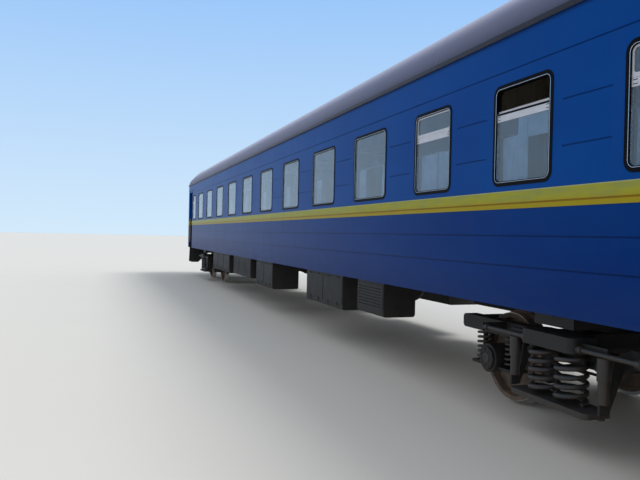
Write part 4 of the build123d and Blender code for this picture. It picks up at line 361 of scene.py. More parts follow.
weathered = {
    "chassis_finish": {"paint": (0.011, 0.011, 0.012, 1), "dust": (0.042, 0.036, 0.029, 1),
                       "clear": 1.45, "thick": 0.15, "most": 0.7, "least": 0.15,
                       "rough": (0.5, 0.9), "grain": 24.0, "depth": 0.0012, "gloss": 0.3},
    "spring_finish": {"paint": (0.020, 0.018, 0.017, 1), "dust": (0.062, 0.044, 0.031, 1),
                      "clear": 1.1, "thick": 0.2, "most": 0.7, "least": 0.25,
                      "rough": (0.4, 0.8), "grain": 30.0, "depth": 0.0008},
    "coupler_finish": {"paint": (0.075, 0.052, 0.04, 1), "dust": (0.16, 0.085, 0.045, 1),
                       "clear": 2.2, "thick": 0.3, "most": 0.65, "least": 0.3,
                       "rough": (0.5, 0.85), "grain": 16.0, "depth": 0.002, "metal": 0.35},
    "portal_finish": {"paint": (0.035, 0.036, 0.042, 1), "dust": (0.12, 0.115, 0.11, 1),
                      "clear": 3.8, "thick": 1.3, "most": 0.5, "least": 0.12,
                      "rough": (0.35, 0.75), "grain": 20.0, "depth": 0.0008},
    "tube_finish": {"paint": (0.018, 0.018, 0.019, 1), "dust": (0.10, 0.10, 0.10, 1),
                    "clear": 4.0, "thick": 1.3, "most": 0.45, "least": 0.1,
                    "rough": (0.55, 0.85), "grain": 35.0, "depth": 0.0015},
    "seal_finish": {"paint": (0.0015, 0.0015, 0.002, 1), "dust": (0.012, 0.012, 0.015, 1),
                    "clear": 3.4, "thick": 2.2, "most": 0.3, "least": 0.05,
                    "rough": (0.5, 0.75), "grain": 60.0, "depth": 0.0004, "gloss": 0.06},
    "end_door_finish": {"paint": (0.21, 0.225, 0.24, 1), "dust": (0.10, 0.095, 0.09, 1),
                        "clear": 2.6, "thick": 1.3, "most": 0.5, "least": 0.05,
                        "rough": (0.32, 0.7), "grain": 8.0, "depth": 0.0006},
    "rail_finish": {"paint": (0.42, 0.33, 0.045, 1), "dust": (0.14, 0.10, 0.06, 1),
                    "clear": 2.4, "thick": 1.2, "most": 0.6, "least": 0.15,
                    "rough": (0.3, 0.65), "grain": 22.0, "depth": 0.0006},
    "vent_finish": {"paint": (0.55, 0.56, 0.62, 1), "dust": (0.30, 0.30, 0.33, 1),
                    "clear": 3.3, "thick": 2.3, "most": 0.5, "least": 0.1,
                    "rough": (0.3, 0.55), "grain": 40.0, "depth": 0.0003, "metal": 0.15},
    "rod_finish": {"paint": (0.58, 0.57, 0.55, 1), "dust": (0.35, 0.33, 0.30, 1),
                   "clear": 3.0, "thick": 2.3, "most": 0.3, "least": 0.1,
                   "rough": (0.22, 0.4), "grain": 90.0, "depth": 0.0002, "metal": 1.0},
    "bright_finish": {"paint": (0.72, 0.72, 0.73, 1), "dust": (0.35, 0.35, 0.36, 1),
                      "clear": 3.3, "thick": 2.2, "most": 0.35, "least": 0.05,
                      "rough": (0.18, 0.45), "grain": 70.0, "depth": 0.0002, "metal": 1.0},
    "tread_finish": {"paint": (0.30, 0.30, 0.31, 1), "dust": (0.10, 0.085, 0.07, 1),
                     "clear": 1.6, "thick": 1.2, "most": 0.65, "least": 0.25,
                     "rough": (0.32, 0.7), "grain": 14.0, "depth": 0.0006, "metal": 0.8},
}


# How the dirt breaks up: the two patterns' scales against the grain, and their shares of it
grimeLook = {
    "patchScale": 0.3, "patchDetail": 5.0, "patchShare": 0.7,
    "fineScale": 3, "fineDetail": 4.0, "fineShare": 0.3,
    "cleanAt": 0.35, "dirtyAt": 0.68, "least": 0.25, "most": 1.35,
}


def weatheredFinish(name):
    look, grime = weathered[name], grimeLook
    mat, tree, shader, where, axes = startFinish(name, Metallic=look.get("metal", 0.0),
                                                 Specular_IOR_Level=look.get("gloss", 0.5))
    patchy = mottle(tree, where, look["grain"] * grime["patchScale"], grime["patchDetail"])
    fine = mottle(tree, where, look["grain"] * grime["fineScale"], grime["fineDetail"])
    height = fade(tree, axes[2], look["thick"], look["clear"], look["most"], look["least"])
    broken = sums(tree, "ADD", sums(tree, "MULTIPLY", patchy, grime["patchShare"]),
                  sums(tree, "MULTIPLY", fine, grime["fineShare"]))
    broken = fade(tree, broken, grime["cleanAt"], grime["dirtyAt"], grime["least"], grime["most"])
    dirt = put(tree, "Math", {0: broken, 1: height}, operation="MULTIPLY", use_clamp=True).outputs[0]
    colourFrom(tree, shader, blendColour(tree, dirt, look["paint"], look["dust"]))
    roughnessFrom(tree, shader, dirt, *look["rough"])
    relief(tree, shader, [(patchy, 0.35, look["depth"] * 2), (fine, 0.3, look["depth"])])
    return mat


# The axles' height and places, the same at both ends of the coach
firstAxle, secondAxle = (middleOf(*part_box(f"wheelset_{n}")) for n in (1, 2))
runningGear = {
    "axleZ": firstAxle[2],
    "bogieX": (firstAxle[0] + secondAxle[0]) / 2,
    "halfBase": (firstAxle[0] - secondAxle[0]) / 2,
}
wheelLook = {
    "web": (0.085, 0.068, 0.055, 1), "dust": (0.19, 0.125, 0.08, 1), "polished": (0.55, 0.54, 0.53, 1),
    # The radius from which the tread runs bright, and how soft its edge is
    "tread": 0.4655, "treadEdge": 0.004,
    # From dirty to bright
    "metal": (0.15, 1.0), "rough": (0.78, 0.24),
    "patches": (9.0, 5.0), "grain": (70.0, 3.0),
}


def wheelFinish():
    look = wheelLook
    mat, tree, shader, where, axes = startFinish("wheel_finish")
    patchy = mottle(tree, where, *look["patches"])
    colour = blendColour(tree, fade(tree, patchy, 0.35, 0.7), look["web"], look["dust"])
    # How far a point is from its own axle, the same sum for all four
    lengthways = sums(tree, "ABSOLUTE", axes[0])
    fromBogie = sums(tree, "ABSOLUTE", sums(tree, "SUBTRACT", lengthways, runningGear["bogieX"]))
    along = sums(tree, "SUBTRACT", fromBogie, runningGear["halfBase"])
    up = sums(tree, "SUBTRACT", axes[2], runningGear["axleZ"])
    spot = put(tree, "CombineXYZ", {0: along, 2: up}).outputs[0]
    radius = put(tree, "VectorMath", {0: spot}, operation="LENGTH").outputs["Value"]
    shine = fade(tree, radius, look["tread"], look["tread"] + look["treadEdge"])
    shine = sums(tree, "MULTIPLY", shine, fade(tree, patchy, 0.2, 0.8, 0.75, 1.0))
    colourFrom(tree, shader, blendColour(tree, shine, colour, look["polished"]))
    tree.links.new(fade(tree, shine, 0.0, 1.0, *look["metal"]), shader.inputs["Metallic"])
    roughnessFrom(tree, shader, shine, *look["rough"])
    relief(tree, shader, [(mottle(tree, where, *look["grain"]), 0.25, 0.001)])
    return mat


paneLook = {
    "tint": (0.55, 0.68, 0.80, 1), "dusty": (0.48, 0.60, 0.71, 1), "rough": (0.01, 0.07),
    "smears": (5.0, 4.0, (1, 1, 0.5)), "waves": (1.1, 1.0),
}


def paneFinish():
    look = paneLook
    mat, tree, shader, where, axes = startFinish("pane_finish", Transmission_Weight=0.92, IOR=1.5)
    dusty = fade(tree, mottle(tree, where, *look["smears"]), 0.4, 0.75)
    colourFrom(tree, shader, blendColour(tree, dusty, look["tint"], look["dusty"]))
    roughnessFrom(tree, shader, dusty, *look["rough"])
    relief(tree, shader, [(mottle(tree, where, *look["waves"]), 0.08, 0.004)])
    return mat


liningLook = {
    "cream": (0.50, 0.45, 0.35, 1), "worn": (0.40, 0.35, 0.26, 1),
    "figure": (3.0, 6.0, (4, 4, 0.35)), "grain": (90.0, 2.0),
}


def liningFinish():
    look = liningLook
    mat, tree, shader, where, axes = startFinish("lining_finish", Roughness=0.45)
    figure = mottle(tree, where, *look["figure"])
    colourByPattern(tree, shader, figure, 0.35, 0.7, look["cream"], look["worn"])
    relief(tree, shader, [(mottle(tree, where, *look["grain"]), 0.1, 0.0004)])
    return mat


boardLook = {
    "light": (0.36, 0.22, 0.11, 1), "dark": (0.17, 0.09, 0.045, 1), "grain": (6.0, 7.0, (8, 0.7, 8)),
}


def boardFinish():
    look = boardLook
    mat, tree, shader, where, axes = startFinish("board_finish", Roughness=0.38, Coat_Weight=0.3,
                                                 Coat_Roughness=0.2)
    grain = mottle(tree, where, *look["grain"])
    colourByPattern(tree, shader, grain, 0.38, 0.66, look["light"], look["dark"])
    relief(tree, shader, [(grain, 0.15, 0.0006)])
    return mat


linoLook = {
    "brown": (0.16, 0.085, 0.055, 1), "speck": (0.30, 0.20, 0.14, 1), "chips": 140.0,
    "wear": (2.0, 4.0),
}


def linoFinish():
    look = linoLook
    mat, tree, shader, where, axes = startFinish("lino_finish", Roughness=0.55)
    chips = cells(tree, where, look["chips"])
    flecks = fade(tree, chips, 0.12, 0.3, 1.0, 0.0)
    worn = fade(tree, mottle(tree, where, *look["wear"]), 0.4, 0.7, 0.2, 0.7)
    colourFrom(tree, shader, blendColour(tree, sums(tree, "MULTIPLY", flecks, worn), look["brown"],
                                         look["speck"]))
    relief(tree, shader, [(chips, 0.1, 0.0004)])
    return mat


coverLook = {
    "hide": (0.20, 0.065, 0.04, 1), "rubbed": (0.30, 0.13, 0.08, 1), "rough": (0.38, 0.62),
    "wear": (3.5, 5.0), "creases": (26.0, 3.0), "pores": 420.0,
}


def coverFinish():
    look = coverLook
    mat, tree, shader, where, axes = startFinish("cover_finish", Sheen_Weight=0.1)
    rubbed = mottle(tree, where, *look["wear"])
    colourByPattern(tree, shader, rubbed, 0.4, 0.72, look["hide"], look["rubbed"])
    roughnessFrom(tree, shader, rubbed, *look["rough"])
    relief(tree, shader, [(cells(tree, where, look["pores"]), 0.25, 0.0006),
                          (mottle(tree, where, *look["creases"]), 0.2, 0.002)])
    return mat


clothLook = {
    "white": (0.80, 0.81, 0.82, 1), "shade": (0.66, 0.68, 0.70, 1), "clouds": (6.0, 4.0),
    "threads": 900.0,  # in a metre
}


def clothFinish():
    look = clothLook
    mat, tree, shader, where, axes = startFinish(
        "cloth_finish", Roughness=0.92, Sheen_Weight=0.35, Subsurface_Weight=0.15,
        Subsurface_Scale=0.01)
    soft = mottle(tree, where, *look["clouds"])
    colourByPattern(tree, shader, soft, 0.35, 0.7, look["white"], look["shade"])
    turns = math.tau * look["threads"]
    warp = sums(tree, "SINE", sums(tree, "MULTIPLY", axes[0], turns))
    weft = sums(tree, "SINE", sums(tree, "MULTIPLY", axes[2], turns))
    relief(tree, shader, [(sums(tree, "MULTIPLY", warp, weft), 0.3, 0.0003)])
    return mat


lampLook = {
    "red": (0.42, 0.012, 0.010, 1), "dull": (0.22, 0.02, 0.02, 1), "rough": (0.15, 0.45),
    "dust": (14.0, 4.0), "ribs": 130.0,
}


def lampFinish():
    look = lampLook
    mat, tree, shader, where, axes = startFinish("lamp_finish", Coat_Weight=0.6, Coat_Roughness=0.08)
    dusty = mottle(tree, where, *look["dust"])
    colourByPattern(tree, shader, dusty, 0.4, 0.7, look["red"], look["dull"])
    roughnessFrom(tree, shader, dusty, *look["rough"])
    relief(tree, shader, [(cells(tree, where, look["ribs"]), 0.4, 0.002)])
    return mat


# The record's slot on the left, its finish on the right
slotFinish = {
    "body_paint": paintWall("wall_finish", innerFace=1.495, bayDeep=0.15),
    "door_paint": paintWall("door_finish", innerFace=1.344, bayDeep=0.0),
    "roof_paint": paintRoof(),
    "chassis_black": weatheredFinish("chassis_finish"),
    "spring_steel": weatheredFinish("spring_finish"),
    "cast_coupler": weatheredFinish("coupler_finish"),
    "wheel_steel": wheelFinish(),
    "seal_rubber": weatheredFinish("seal_finish"),
    "tube_rubber": weatheredFinish("tube_finish"),
    "portal_paint": weatheredFinish("portal_finish"),
    "window_glass": paneFinish(),
    "window_metal": weatheredFinish("vent_finish"),
    "rod_metal": weatheredFinish("rod_finish"),
    "floor_sheet": linoFinish(),
    "tread_plate": weatheredFinish("tread_finish"),
    "wall_laminate": liningFinish(),
    "berth_board": boardFinish(),
    "berth_cover": coverFinish(),
    "curtain_cloth": clothFinish(),
    "end_door_paint": weatheredFinish("end_door_finish"),
    "rail_paint": weatheredFinish("rail_finish"),
    "lamp_red": lampFinish(),
}
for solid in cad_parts.values():
    for held in solid.material_slots:
        held.material = slotFinish[held.material.name.split(".")[0]]
print("coach: finishes on the solids")


# Reading places from the frame


def solidBoxes(node):
    # The box of each separate solid in a node, in the order of X
    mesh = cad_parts[node].data
    joined = {}
    first = []
    for vertex in mesh.vertices:
        key = tuple(round(c, 5) for c in vertex.co)
        first.append(joined.setdefault(key, len(joined)))
    parent = list(range(len(joined)))

    def top(n):
        while parent[n] != n:
            parent[n] = parent[parent[n]]
            n = parent[n]
        return n

    for edge in mesh.edges:
        a, b = top(first[edge.vertices[0]]), top(first[edge.vertices[1]])
        if a != b:
            parent[a] = b
    boxes = {}
    for key, n in joined.items():
        low, high = boxes.setdefault(top(n), ([9e9] * 3, [-9e9] * 3))
        for i in range(3):
            low[i], high[i] = min(low[i], key[i]), max(high[i], key[i])
    return sorted(boxes.values())


def newPiece(name, points, faces, body, slot, finish=None, smooth=True):
    # It has its slot's finish unless it is given one of its own
    mesh = bpy.data.meshes.new(name)
    mesh.from_pydata(points, [], faces)
    mesh.validate()
    if smooth:
        mesh.polygons.foreach_set("use_smooth", [True] * len(mesh.polygons))
    mesh.materials.append(finish or slotFinish[slot])
    piece = bpy.data.objects.new(name, mesh)
    bpy.context.scene.collection.objects.link(piece)
    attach(piece, body)
    return piece


def ribAlong(points, faces, rings, flip=False):
    # The rings run side by side round the same closed path and make a closed section
    base, count = len(points), len(rings[0])
    for ring in rings:
        points.extend(ring)
    for r in range(len(rings)):
        nextRing = (r + 1) % len(rings)
        for n in range(count):
            m = (n + 1) % count
            corners = (base + r * count + n, base + r * count + m,
                       base + nextRing * count + m, base + nextRing * count + n)
            faces.append(corners[::-1] if flip else corners)


def circle(radius, steps):
    angles = [math.tau * n / steps for n in range(steps)]
    return [(radius * math.cos(angle), radius * math.sin(angle)) for angle in angles]


def turnedBit(points, faces, centre, along, outline, steps):
    # Columns of the outline: radius, height over the seat; it ends on the axis
    along = Vector(along)
    across = along.orthogonal().normalized()
    up = along.cross(across)
    rows = []
    for radius, height in outline:
        seat = Vector(centre) + along * height
        if radius == 0:
            rows.append([len(points)] * steps)
            points.append(tuple(seat))
            continue
        rows.append(list(range(len(points), len(points) + steps)))
        points.extend(tuple(seat + across * a + up * b) for a, b in circle(radius, steps))
    for lower, upper in zip(rows, rows[1:]):
        for n in range(steps):
            m = (n + 1) % steps
            corners = (lower[n], lower[m], upper[m], upper[n])
            faces.append(corners if upper[m] != upper[n] else corners[:3])


def softSlab(points, faces, low, high, edge):
    # A plate with its edges taken off
    made = bmesh.new()
    bmesh.ops.create_cube(made, size=1.0)
    bmesh.ops.scale(made, vec=Vector(high) - Vector(low), verts=made.verts)
    bmesh.ops.translate(made, vec=(Vector(low) + Vector(high)) / 2, verts=made.verts)
    bmesh.ops.bevel(made, geom=made.edges[:], offset=edge, segments=2, affect="EDGES")
    made.verts.index_update()
    base = len(points)
    points.extend(tuple(v.co) for v in made.verts)
    faces.extend(tuple(base + v.index for v in face.verts) for face in made.faces)
    made.free()


# Window trim: the bright strip pressed into each rubber seal

stripLook = {
    "inset": 0.0345, "width": 0.0045, "corner": 0.095, "steps": 7,
    # Columns: share of the strip's width, height over the seal
    "section": ((0.0, -0.001), (0.0, 0.00108), (0.5, 0.0018), (1.0, 0.00108), (1.0, -0.001)),
}


def roundedLoop(x0, x1, z0, z1, corner, steps):
    loop = []
    for cx, cz, start in ((x1 - corner, z1 - corner, 0), (x0 + corner, z1 - corner, 90),
                          (x0 + corner, z0 + corner, 180), (x1 - corner, z0 + corner, 270)):
        for n in range(steps + 1):
            angle = math.radians(start + 90 * n / steps)
            loop.append((cx + corner * math.cos(angle), cz + corner * math.sin(angle)))
    return loop


brightTrim = weatheredFinish("bright_finish")


def addSealStrips():
    look = stripLook
    points, faces = [], []
    for low, high in solidBoxes("window_seals"):
        side = 1 if high[1] > 0 else -1
        face = high[1] if side > 0 else low[1]
        rings = []
        for share, out in look["section"]:
            inset = look["inset"] + share * look["width"]
            rings.append([(x, face + side * out, z) for x, z in roundedLoop(
                low[0] + inset, high[0] - inset, low[2] + inset, high[2] - inset,
                look["corner"] - inset, look["steps"])])
        ribAlong(points, faces, rings, side > 0)
    newPiece("seal_strips", points, faces, "coach_body", "window_metal", brightTrim)


addSealStrips()
print("coach: window trim made")


# Curtains, gathered on their rods

curtainLook = {
    "foldWidth": 0.056, "leastFolds": 3, "narrow": 0.12, "narrowFolds": 4,
    # The folds are shallow on the rod and deepen over this share of the height
    "topFold": 0.006, "fold": 0.0115, "deepens": 1 / 3, "stepsPerFold": 7, "rows": 14,
    "sway": 0.0036, "wander": 0.175, "uneven": 0.15, "unevenPace": 5, "hemRise": 0.002,
    # Columns: middle of the window, side, the share of its width that the cloth still takes
    "drawnAside": ((9.235, -1, 0.22), (-1.74, -1, 0.5), (2.10, 1, 0.5)),
    "pairReach": 0.6,  # a window's two cloths hang within this of its middle
    "ringR": 0.0085, "ringWire": 0.0013, "ringGap": 0.075, "ringUp": 0.0065, "leastRings": 3,
    "ringSides": 10, "wireSides": 4,
}


def drawnBox(low, high):
    # Of a pair that is drawn, the cloth towards the near end is pushed to its outer end
    middle = middleOf(low, high)[0]
    for x, side, share in curtainLook["drawnAside"]:
        if abs(middle - x) < curtainLook["pairReach"] and middle > x and side * low[1] > 0:
            return [high[0] - (high[0] - low[0]) * share, low[1], low[2]], high
    return low, high


def hangCurtain(number, low, high):
    look = curtainLook
    rng = random.Random(100 + number)
    width, height = high[0] - low[0], high[2] - low[2]
    folds = max(look["leastFolds"], round(width / look["foldWidth"]))
    if width < look["narrow"]:
        folds = look["narrowFolds"]
    columns = folds * look["stepsPerFold"]
    middle = (low[1] + high[1]) / 2
    shift = [rng.uniform(-look["wander"], look["wander"]) for _ in range(folds + 2)]
    lean = rng.uniform(-1, 1)
    points, faces = [], []
    for r in range(look["rows"] + 1):
        down = r / look["rows"]
        depth = look["topFold"] + (look["fold"] - look["topFold"]) * min(1, down / look["deepens"])
        for c in range(columns + 1):
            along = c / columns
            turn = along * folds
            wander = shift[int(turn)] * (1 - turn % 1) + shift[int(turn) + 1] * (turn % 1)
            wave = math.sin(math.tau * (turn + wander * down))
            slack = math.sin(math.pi * along) * look["sway"] * down * lean
            uneven = 1 + look["uneven"] * (math.sin(look["unevenPace"] * along + number) - 1)
            points.append((low[0] + width * along + slack,
                           middle + wave * depth * uneven,
                           high[2] - height * down + abs(wave) * look["hemRise"] * down))
    for r in range(look["rows"]):
        for c in range(columns):
            a = r * (columns + 1) + c
            faces.append((a, a + 1, a + columns + 2, a + columns + 1))
    cloth = newPiece(f"curtain_{number}", points, faces, "coach_body", "curtain_cloth")
    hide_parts("curtains")


def threadRings(places):
    look = curtainLook
    points, faces = [], []
    for low, high in places:
        width = high[0] - low[0]
        count = max(look["leastRings"], round(width / look["ringGap"]))
        y, z = (low[1] + high[1]) / 2, high[2] + look["ringUp"]
        for n in range(count):
            x = low[0] + width * (n + 0.5) / count
            # Circles about the rod, one for each side of the wire
            rings = [[(x + sideways, y + a, z + b)
                      for a, b in circle(look["ringR"] + outwards, look["ringSides"])]
                     for outwards, sideways in circle(look["ringWire"], look["wireSides"])]
            ribAlong(points, faces, rings)
    newPiece("curtain_rings", points, faces, "coach_body", "rod_metal")


hung = [drawnBox(low, high) for low, high in solidBoxes("curtains")]
for number, (low, high) in enumerate(hung, start=1):
    hangCurtain(number, low, high)
threadRings(hung)
print("coach: curtains hung")


# Berth cushions: one stuffed shape, shared by every berth of its size

padLook = {
    "slack": 0.006, "round": 0.018, "voxel": 0.02, "pressure": 4.0, "frames": 18, "cap": 0.009,
    "most": 2200,  # triangles
}


def stuffedPad(size):
    look = padLook
    made = bmesh.new()
    bmesh.ops.create_cube(made, size=1.0)
    bmesh.ops.scale(made, vec=Vector([s - 2 * look["slack"] for s in size]), verts=made.verts)
    bmesh.ops.bevel(made, geom=made.edges[:], offset=look["round"], segments=2, affect="EDGES")
    mesh = bpy.data.meshes.new("stuffed_pad")
    made.to_mesh(mesh)
    made.free()
    pad = bpy.data.objects.new("stuffed_pad", mesh)
    bpy.context.scene.collection.objects.link(pad)
    bpy.context.view_layer.objects.active = pad
    grid = pad.modifiers.new("grid", "REMESH")
    grid.mode, grid.voxel_size = "VOXEL", look["voxel"]
    bpy.ops.object.modifier_apply(modifier=grid.name)
    rest = [v.co.copy() for v in mesh.vertices]
    swell = pad.modifiers.new("swell", "CLOTH")
    swell.settings.use_pressure = True
    swell.settings.uniform_pressure_force = look["pressure"]
    swell.settings.effector_weights.gravity = 0
    swell.point_cache.frame_start, swell.point_cache.frame_end = 1, look["frames"]
    for n in range(1, look["frames"] + 1):
        bpy.context.scene.frame_set(n)
    bpy.ops.object.modifier_apply(modifier=swell.name)
    bpy.context.scene.frame_set(1)
    half = [s / 2 for s in size]
    for vertex, start in zip(pad.data.vertices, rest):
        moved = vertex.co - start
        if moved.length > look["cap"]:
            vertex.co = start + moved.normalized() * look["cap"]
        # No further out than the solid, so it lies flat on its board
        vertex.co = [max(-half[i], min(half[i], vertex.co[i])) for i in range(3)]
    fewer = pad.modifiers.new("fewer", "DECIMATE")
    fewer.ratio = min(1.0, look["most"] / max(1, 2 * len(pad.data.polygons)))
    bpy.ops.object.modifier_apply(modifier=fewer.name)
    pad.data.polygons.foreach_set("use_smooth", [True] * len(pad.data.polygons))
    mesh = pad.data
    bpy.data.objects.remove(pad, do_unlink=True)
    return mesh


def addCushions():
    shapes = {}
    for number, (low, high) in enumerate(solidBoxes("berth_cushions"), start=1):
        size = tuple(round(high[i] - low[i], 3) for i in range(3))
        if size not in shapes:
            shapes[size] = stuffedPad(size)
            shapes[size].materials.append(slotFinish["berth_cover"])
        pad = bpy.data.objects.new(f"cushion_{number}", shapes[size])
        pad.location = middleOf(low, high)
        bpy.context.scene.collection.objects.link(pad)
        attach(pad, "coach_body")
        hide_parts("berth_cushions")


addCushions()
print("coach: cushions stuffed")


# Small fittings of the windows: dark slots at the ends of each bar, a dark strip of painted shadow
# under each open vent, and blank cards in one window

paneFittings = {
    "barHigh": 0.085,  # a bar is lower than this, and the frame of a vent is taller
    "slotLong": 0.042, "slotHigh": 0.006, "slotIn": 0.012, "slotDown": (0.030, 0.060),
    "slotProud": 0.0012, "slotSunk": 0.0005, "slotEdge": 0.0005,
    "openReach": 0.05,  # an open vent takes more than this across the wall
    "shadowOut": 0.0145, "shadowDeep": 0.006, "shadowHigh": 0.021, "shadowEnd": 0.004, "shadowGap": 0.001,
    "shadowEdge": 0.002,
    "cardWindow": 9.235, "cardReach": 0.1, "cardBack": 0.030, "cardThick": 0.0012, "cardUp": 0.01,
    "cardEdge": 0.0004,
    # Columns: from and to, as shares of the window's width, and how far down the pane
    "cards": ((0.40, 0.575, 0.245), (0.583, 0.985, 0.190)),
}
cardLook = {
    "white": (0.80, 0.81, 0.82, 1), "aged": (0.70, 0.71, 0.72, 1),
    "blotches": (12.0, 4.0), "waves": (3.0, 2.0), "grain": (300.0, 2.0),
}


def cardFinish():
    look = cardLook
    mat, tree, shader, where, axes = startFinish("card_finish", Roughness=0.7)
    blotches = mottle(tree, where, *look["blotches"])
    colourByPattern(tree, shader, blotches, 0.35, 0.7, look["white"], look["aged"])
    relief(tree, shader, [(mottle(tree, where, *look["waves"]), 0.3, 0.004),
                          (mottle(tree, where, *look["grain"]), 0.1, 0.0002)])
    return mat


def addBarRubbersAndShadows(frames):
    look = paneFittings
    points, faces = [], []
    for low, high in frames:
        if high[2] - low[2] >= look["barHigh"]:
            continue
        side = 1 if high[1] > 0 else -1
        face = high[1] if side > 0 else low[1]
        near, far = sorted((face - side * look["slotSunk"], face + side * look["slotProud"]))
        for down in look["slotDown"]:
            for end in (low[0] + look["slotIn"], high[0] - look["slotIn"] - look["slotLong"]):
                softSlab(points, faces, (end, near, high[2] - down - look["slotHigh"]),
                         (end + look["slotLong"], far, high[2] - down), look["slotEdge"])
    # Painted shadow: a dark strip on the bar under each vent that stands open, where the open sash
    # shades it
    for low, high in frames:
        if high[1] - low[1] < look["openReach"]:
            continue
        side = 1 if high[1] > 0 else -1
        face = side * max(abs(low[1]), abs(high[1])) + side * look["shadowOut"]
        near, far = sorted((face - side * look["shadowDeep"], face))
        softSlab(points, faces, (low[0] + look["shadowEnd"], near, low[2] - look["shadowHigh"]),
                 (high[0] - look["shadowEnd"], far, low[2] - look["shadowGap"]), look["shadowEdge"])
    newPiece("bar_rubbers", points, faces, "coach_body", "seal_rubber", smooth=False)


def addWindowCards(frames):
    look = paneFittings
    # The cards stand on the bar of their window on the platform side
    low, high = next(box for box in frames if box[1][2] - box[0][2] < look["barHigh"]
                     and box[0][1] < 0
                     and abs(middleOf(*box)[0] - look["cardWindow"]) < look["cardReach"])
    width, back = high[0] - low[0], low[1] + look["cardBack"]
    points, faces = [], []
    for start, end, down in look["cards"]:
        softSlab(points, faces, (low[0] + width * start, back, low[2] - down),
                 (low[0] + width * end, back + look["cardThick"], low[2] + look["cardUp"]),
                 look["cardEdge"])
    newPiece("window_cards", points, faces, "coach_body", "wall_laminate", cardFinish(), smooth=False)


ventFrames = solidBoxes("vent_frames")
addBarRubbersAndShadows(ventFrames)
addWindowCards(ventFrames)
print("coach: window fittings made")


# Doors: beads round their panes, kick plates and lock plates, and strips that lead rain off

doorLook = {
    "leafFace": 1.390, "wallFace": 1.510,  # from the middle of the coach
    "paneCorner": 0.08, "beadWide": 0.022, "beadLap": 0.004, "beadSteps": 7,
    # Columns: share of the bead's width, height over the leaf
    "beadSection": ((0.0, 0.0), (0.15, 0.005), (0.7, 0.005), (1.0, 0.001), (1.0, -0.012),
                    (0.75, -0.012)),
    "plateLow": 0.018, "plateHigh": 0.10, "plateSide": 0.025, "plateProud": 0.0022,
    "plateEdge": 0.0008, "plateScrews": 6, "plateScrewSide": 0.045, "plateScrewIn": 0.012,
    "lockWide": 0.046, "lockProud": 0.005, "lockZ": (2.02, 2.17), "lockX": 0.075, "lockEdge": 0.002,
    "lockScrewIn": 0.015,
    # Columns: radius, height over the plate it sits on
    "keyRing": ((0.014, 0), (0.014, 0.003), (0.0085, 0.004), (0.0075, 0.001), (0, 0.001)),
    "keyRingSteps": 18,
    "screw": ((0.006, 0), (0.0048, 0.0021), (0, 0.003)), "screwSteps": 10, "screwSunk": 0.0005,
    "rainZ": 3.428, "rainHigh": 0.026, "rainProud": 0.016, "rainLong": 1.02, "bayMiddle": 12.09,
    # Its shelf and its lip, in columns: start over the wall, share of the height, edge
    "rainParts": ((-0.0005, 0.3, 0.002), (0.013, 1.0, 0.001)),
}


def paneBead(points, faces, x0, x1, z0, z1, place, flip):
    # place turns a point of the pane's plane and its height over the leaf into the frame
    look = doorLook
    rings = []
    for share, out in look["beadSection"]:
        grow = look["beadWide"] * (1 - share) - look["beadLap"]
        rings.append([place(a, b, out) for a, b in roundedLoop(
            x0 - grow, x1 + grow, z0 - grow, z1 + grow, look["paneCorner"] + grow,
            look["beadSteps"])])
    ribAlong(points, faces, rings, flip)


def addPaneBead(tag):
    low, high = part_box(f"door_glass_{tag}")
    side = 1 if high[1] > 0 else -1
    face = side * doorLook["leafFace"]
    points, faces = [], []
    paneBead(points, faces, low[0], high[0], low[2], high[2],
             lambda a, b, out: (a, face + side * out, b), side > 0)
    newPiece(f"pane_bead_{tag}", points, faces, f"side_door_{tag}", "seal_rubber")


def addDoorPlates(tag):
    look = doorLook
    leaf = f"side_door_{tag}"
    low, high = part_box(leaf)
    side = 1 if high[1] > 0 else -1
    end = 1 if high[0] > 0 else -1
    face = side * look["leafFace"]
    out = (0, side, 0)
    points, faces = [], []
    # A kick plate along the foot, a lock plate by the edge that opens, and the screws of both
    near, far = sorted((face, face + side * look["plateProud"]))
    softSlab(points, faces, (low[0] + look["plateSide"], near, low[2] + look["plateLow"]),
             (high[0] - look["plateSide"], far, low[2] + look["plateHigh"]), look["plateEdge"])
    lockX = low[0] + look["lockX"] if end > 0 else high[0] - look["lockX"]
    lockLow, lockHigh = look["lockZ"]
    near, far = sorted((face, face + side * look["lockProud"]))
    softSlab(points, faces, (lockX - look["lockWide"] / 2, near, lockLow),
             (lockX + look["lockWide"] / 2, far, lockHigh), look["lockEdge"])
    turnedBit(points, faces, (lockX, face + side * look["lockProud"], (lockLow + lockHigh) / 2), out,
              look["keyRing"], look["keyRingSteps"])
    screws = [(lockX, z, look["lockProud"])
              for z in (lockLow + look["lockScrewIn"], lockHigh - look["lockScrewIn"])]
    last = look["plateScrews"] - 1
    run = high[0] - low[0] - 2 * look["plateScrewSide"]
    for n in range(look["plateScrews"]):
        x = low[0] + look["plateScrewSide"] + run * n / last
        for z in (look["plateLow"] + look["plateScrewIn"], look["plateHigh"] - look["plateScrewIn"]):
            screws.append((x, low[2] + z, look["plateProud"]))
    for x, z, seat in screws:
        turnedBit(points, faces, (x, face + side * (seat - look["screwSunk"]), z), out,
                  look["screw"], look["screwSteps"])
    newPiece(f"door_plates_{tag}", points, faces, leaf, "window_metal", brightTrim, smooth=False)


def addRainStrips():
    look = doorLook
    points, faces = [], []
    outer, half = look["wallFace"] + look["rainProud"], look["rainLong"] / 2
    for end in (-1, 1):
        for side in (-1, 1):
            middle = end * look["bayMiddle"]
            for start, share, edge in look["rainParts"]:
                near, far = sorted((side * (look["wallFace"] + start), side * outer))
                softSlab(points, faces, (middle - half, near, look["rainZ"]),
                         (middle + half, far, look["rainZ"] + look["rainHigh"] * share), edge)
    newPiece("rain_strips", points, faces, "coach_body", "body_paint", smooth=False)


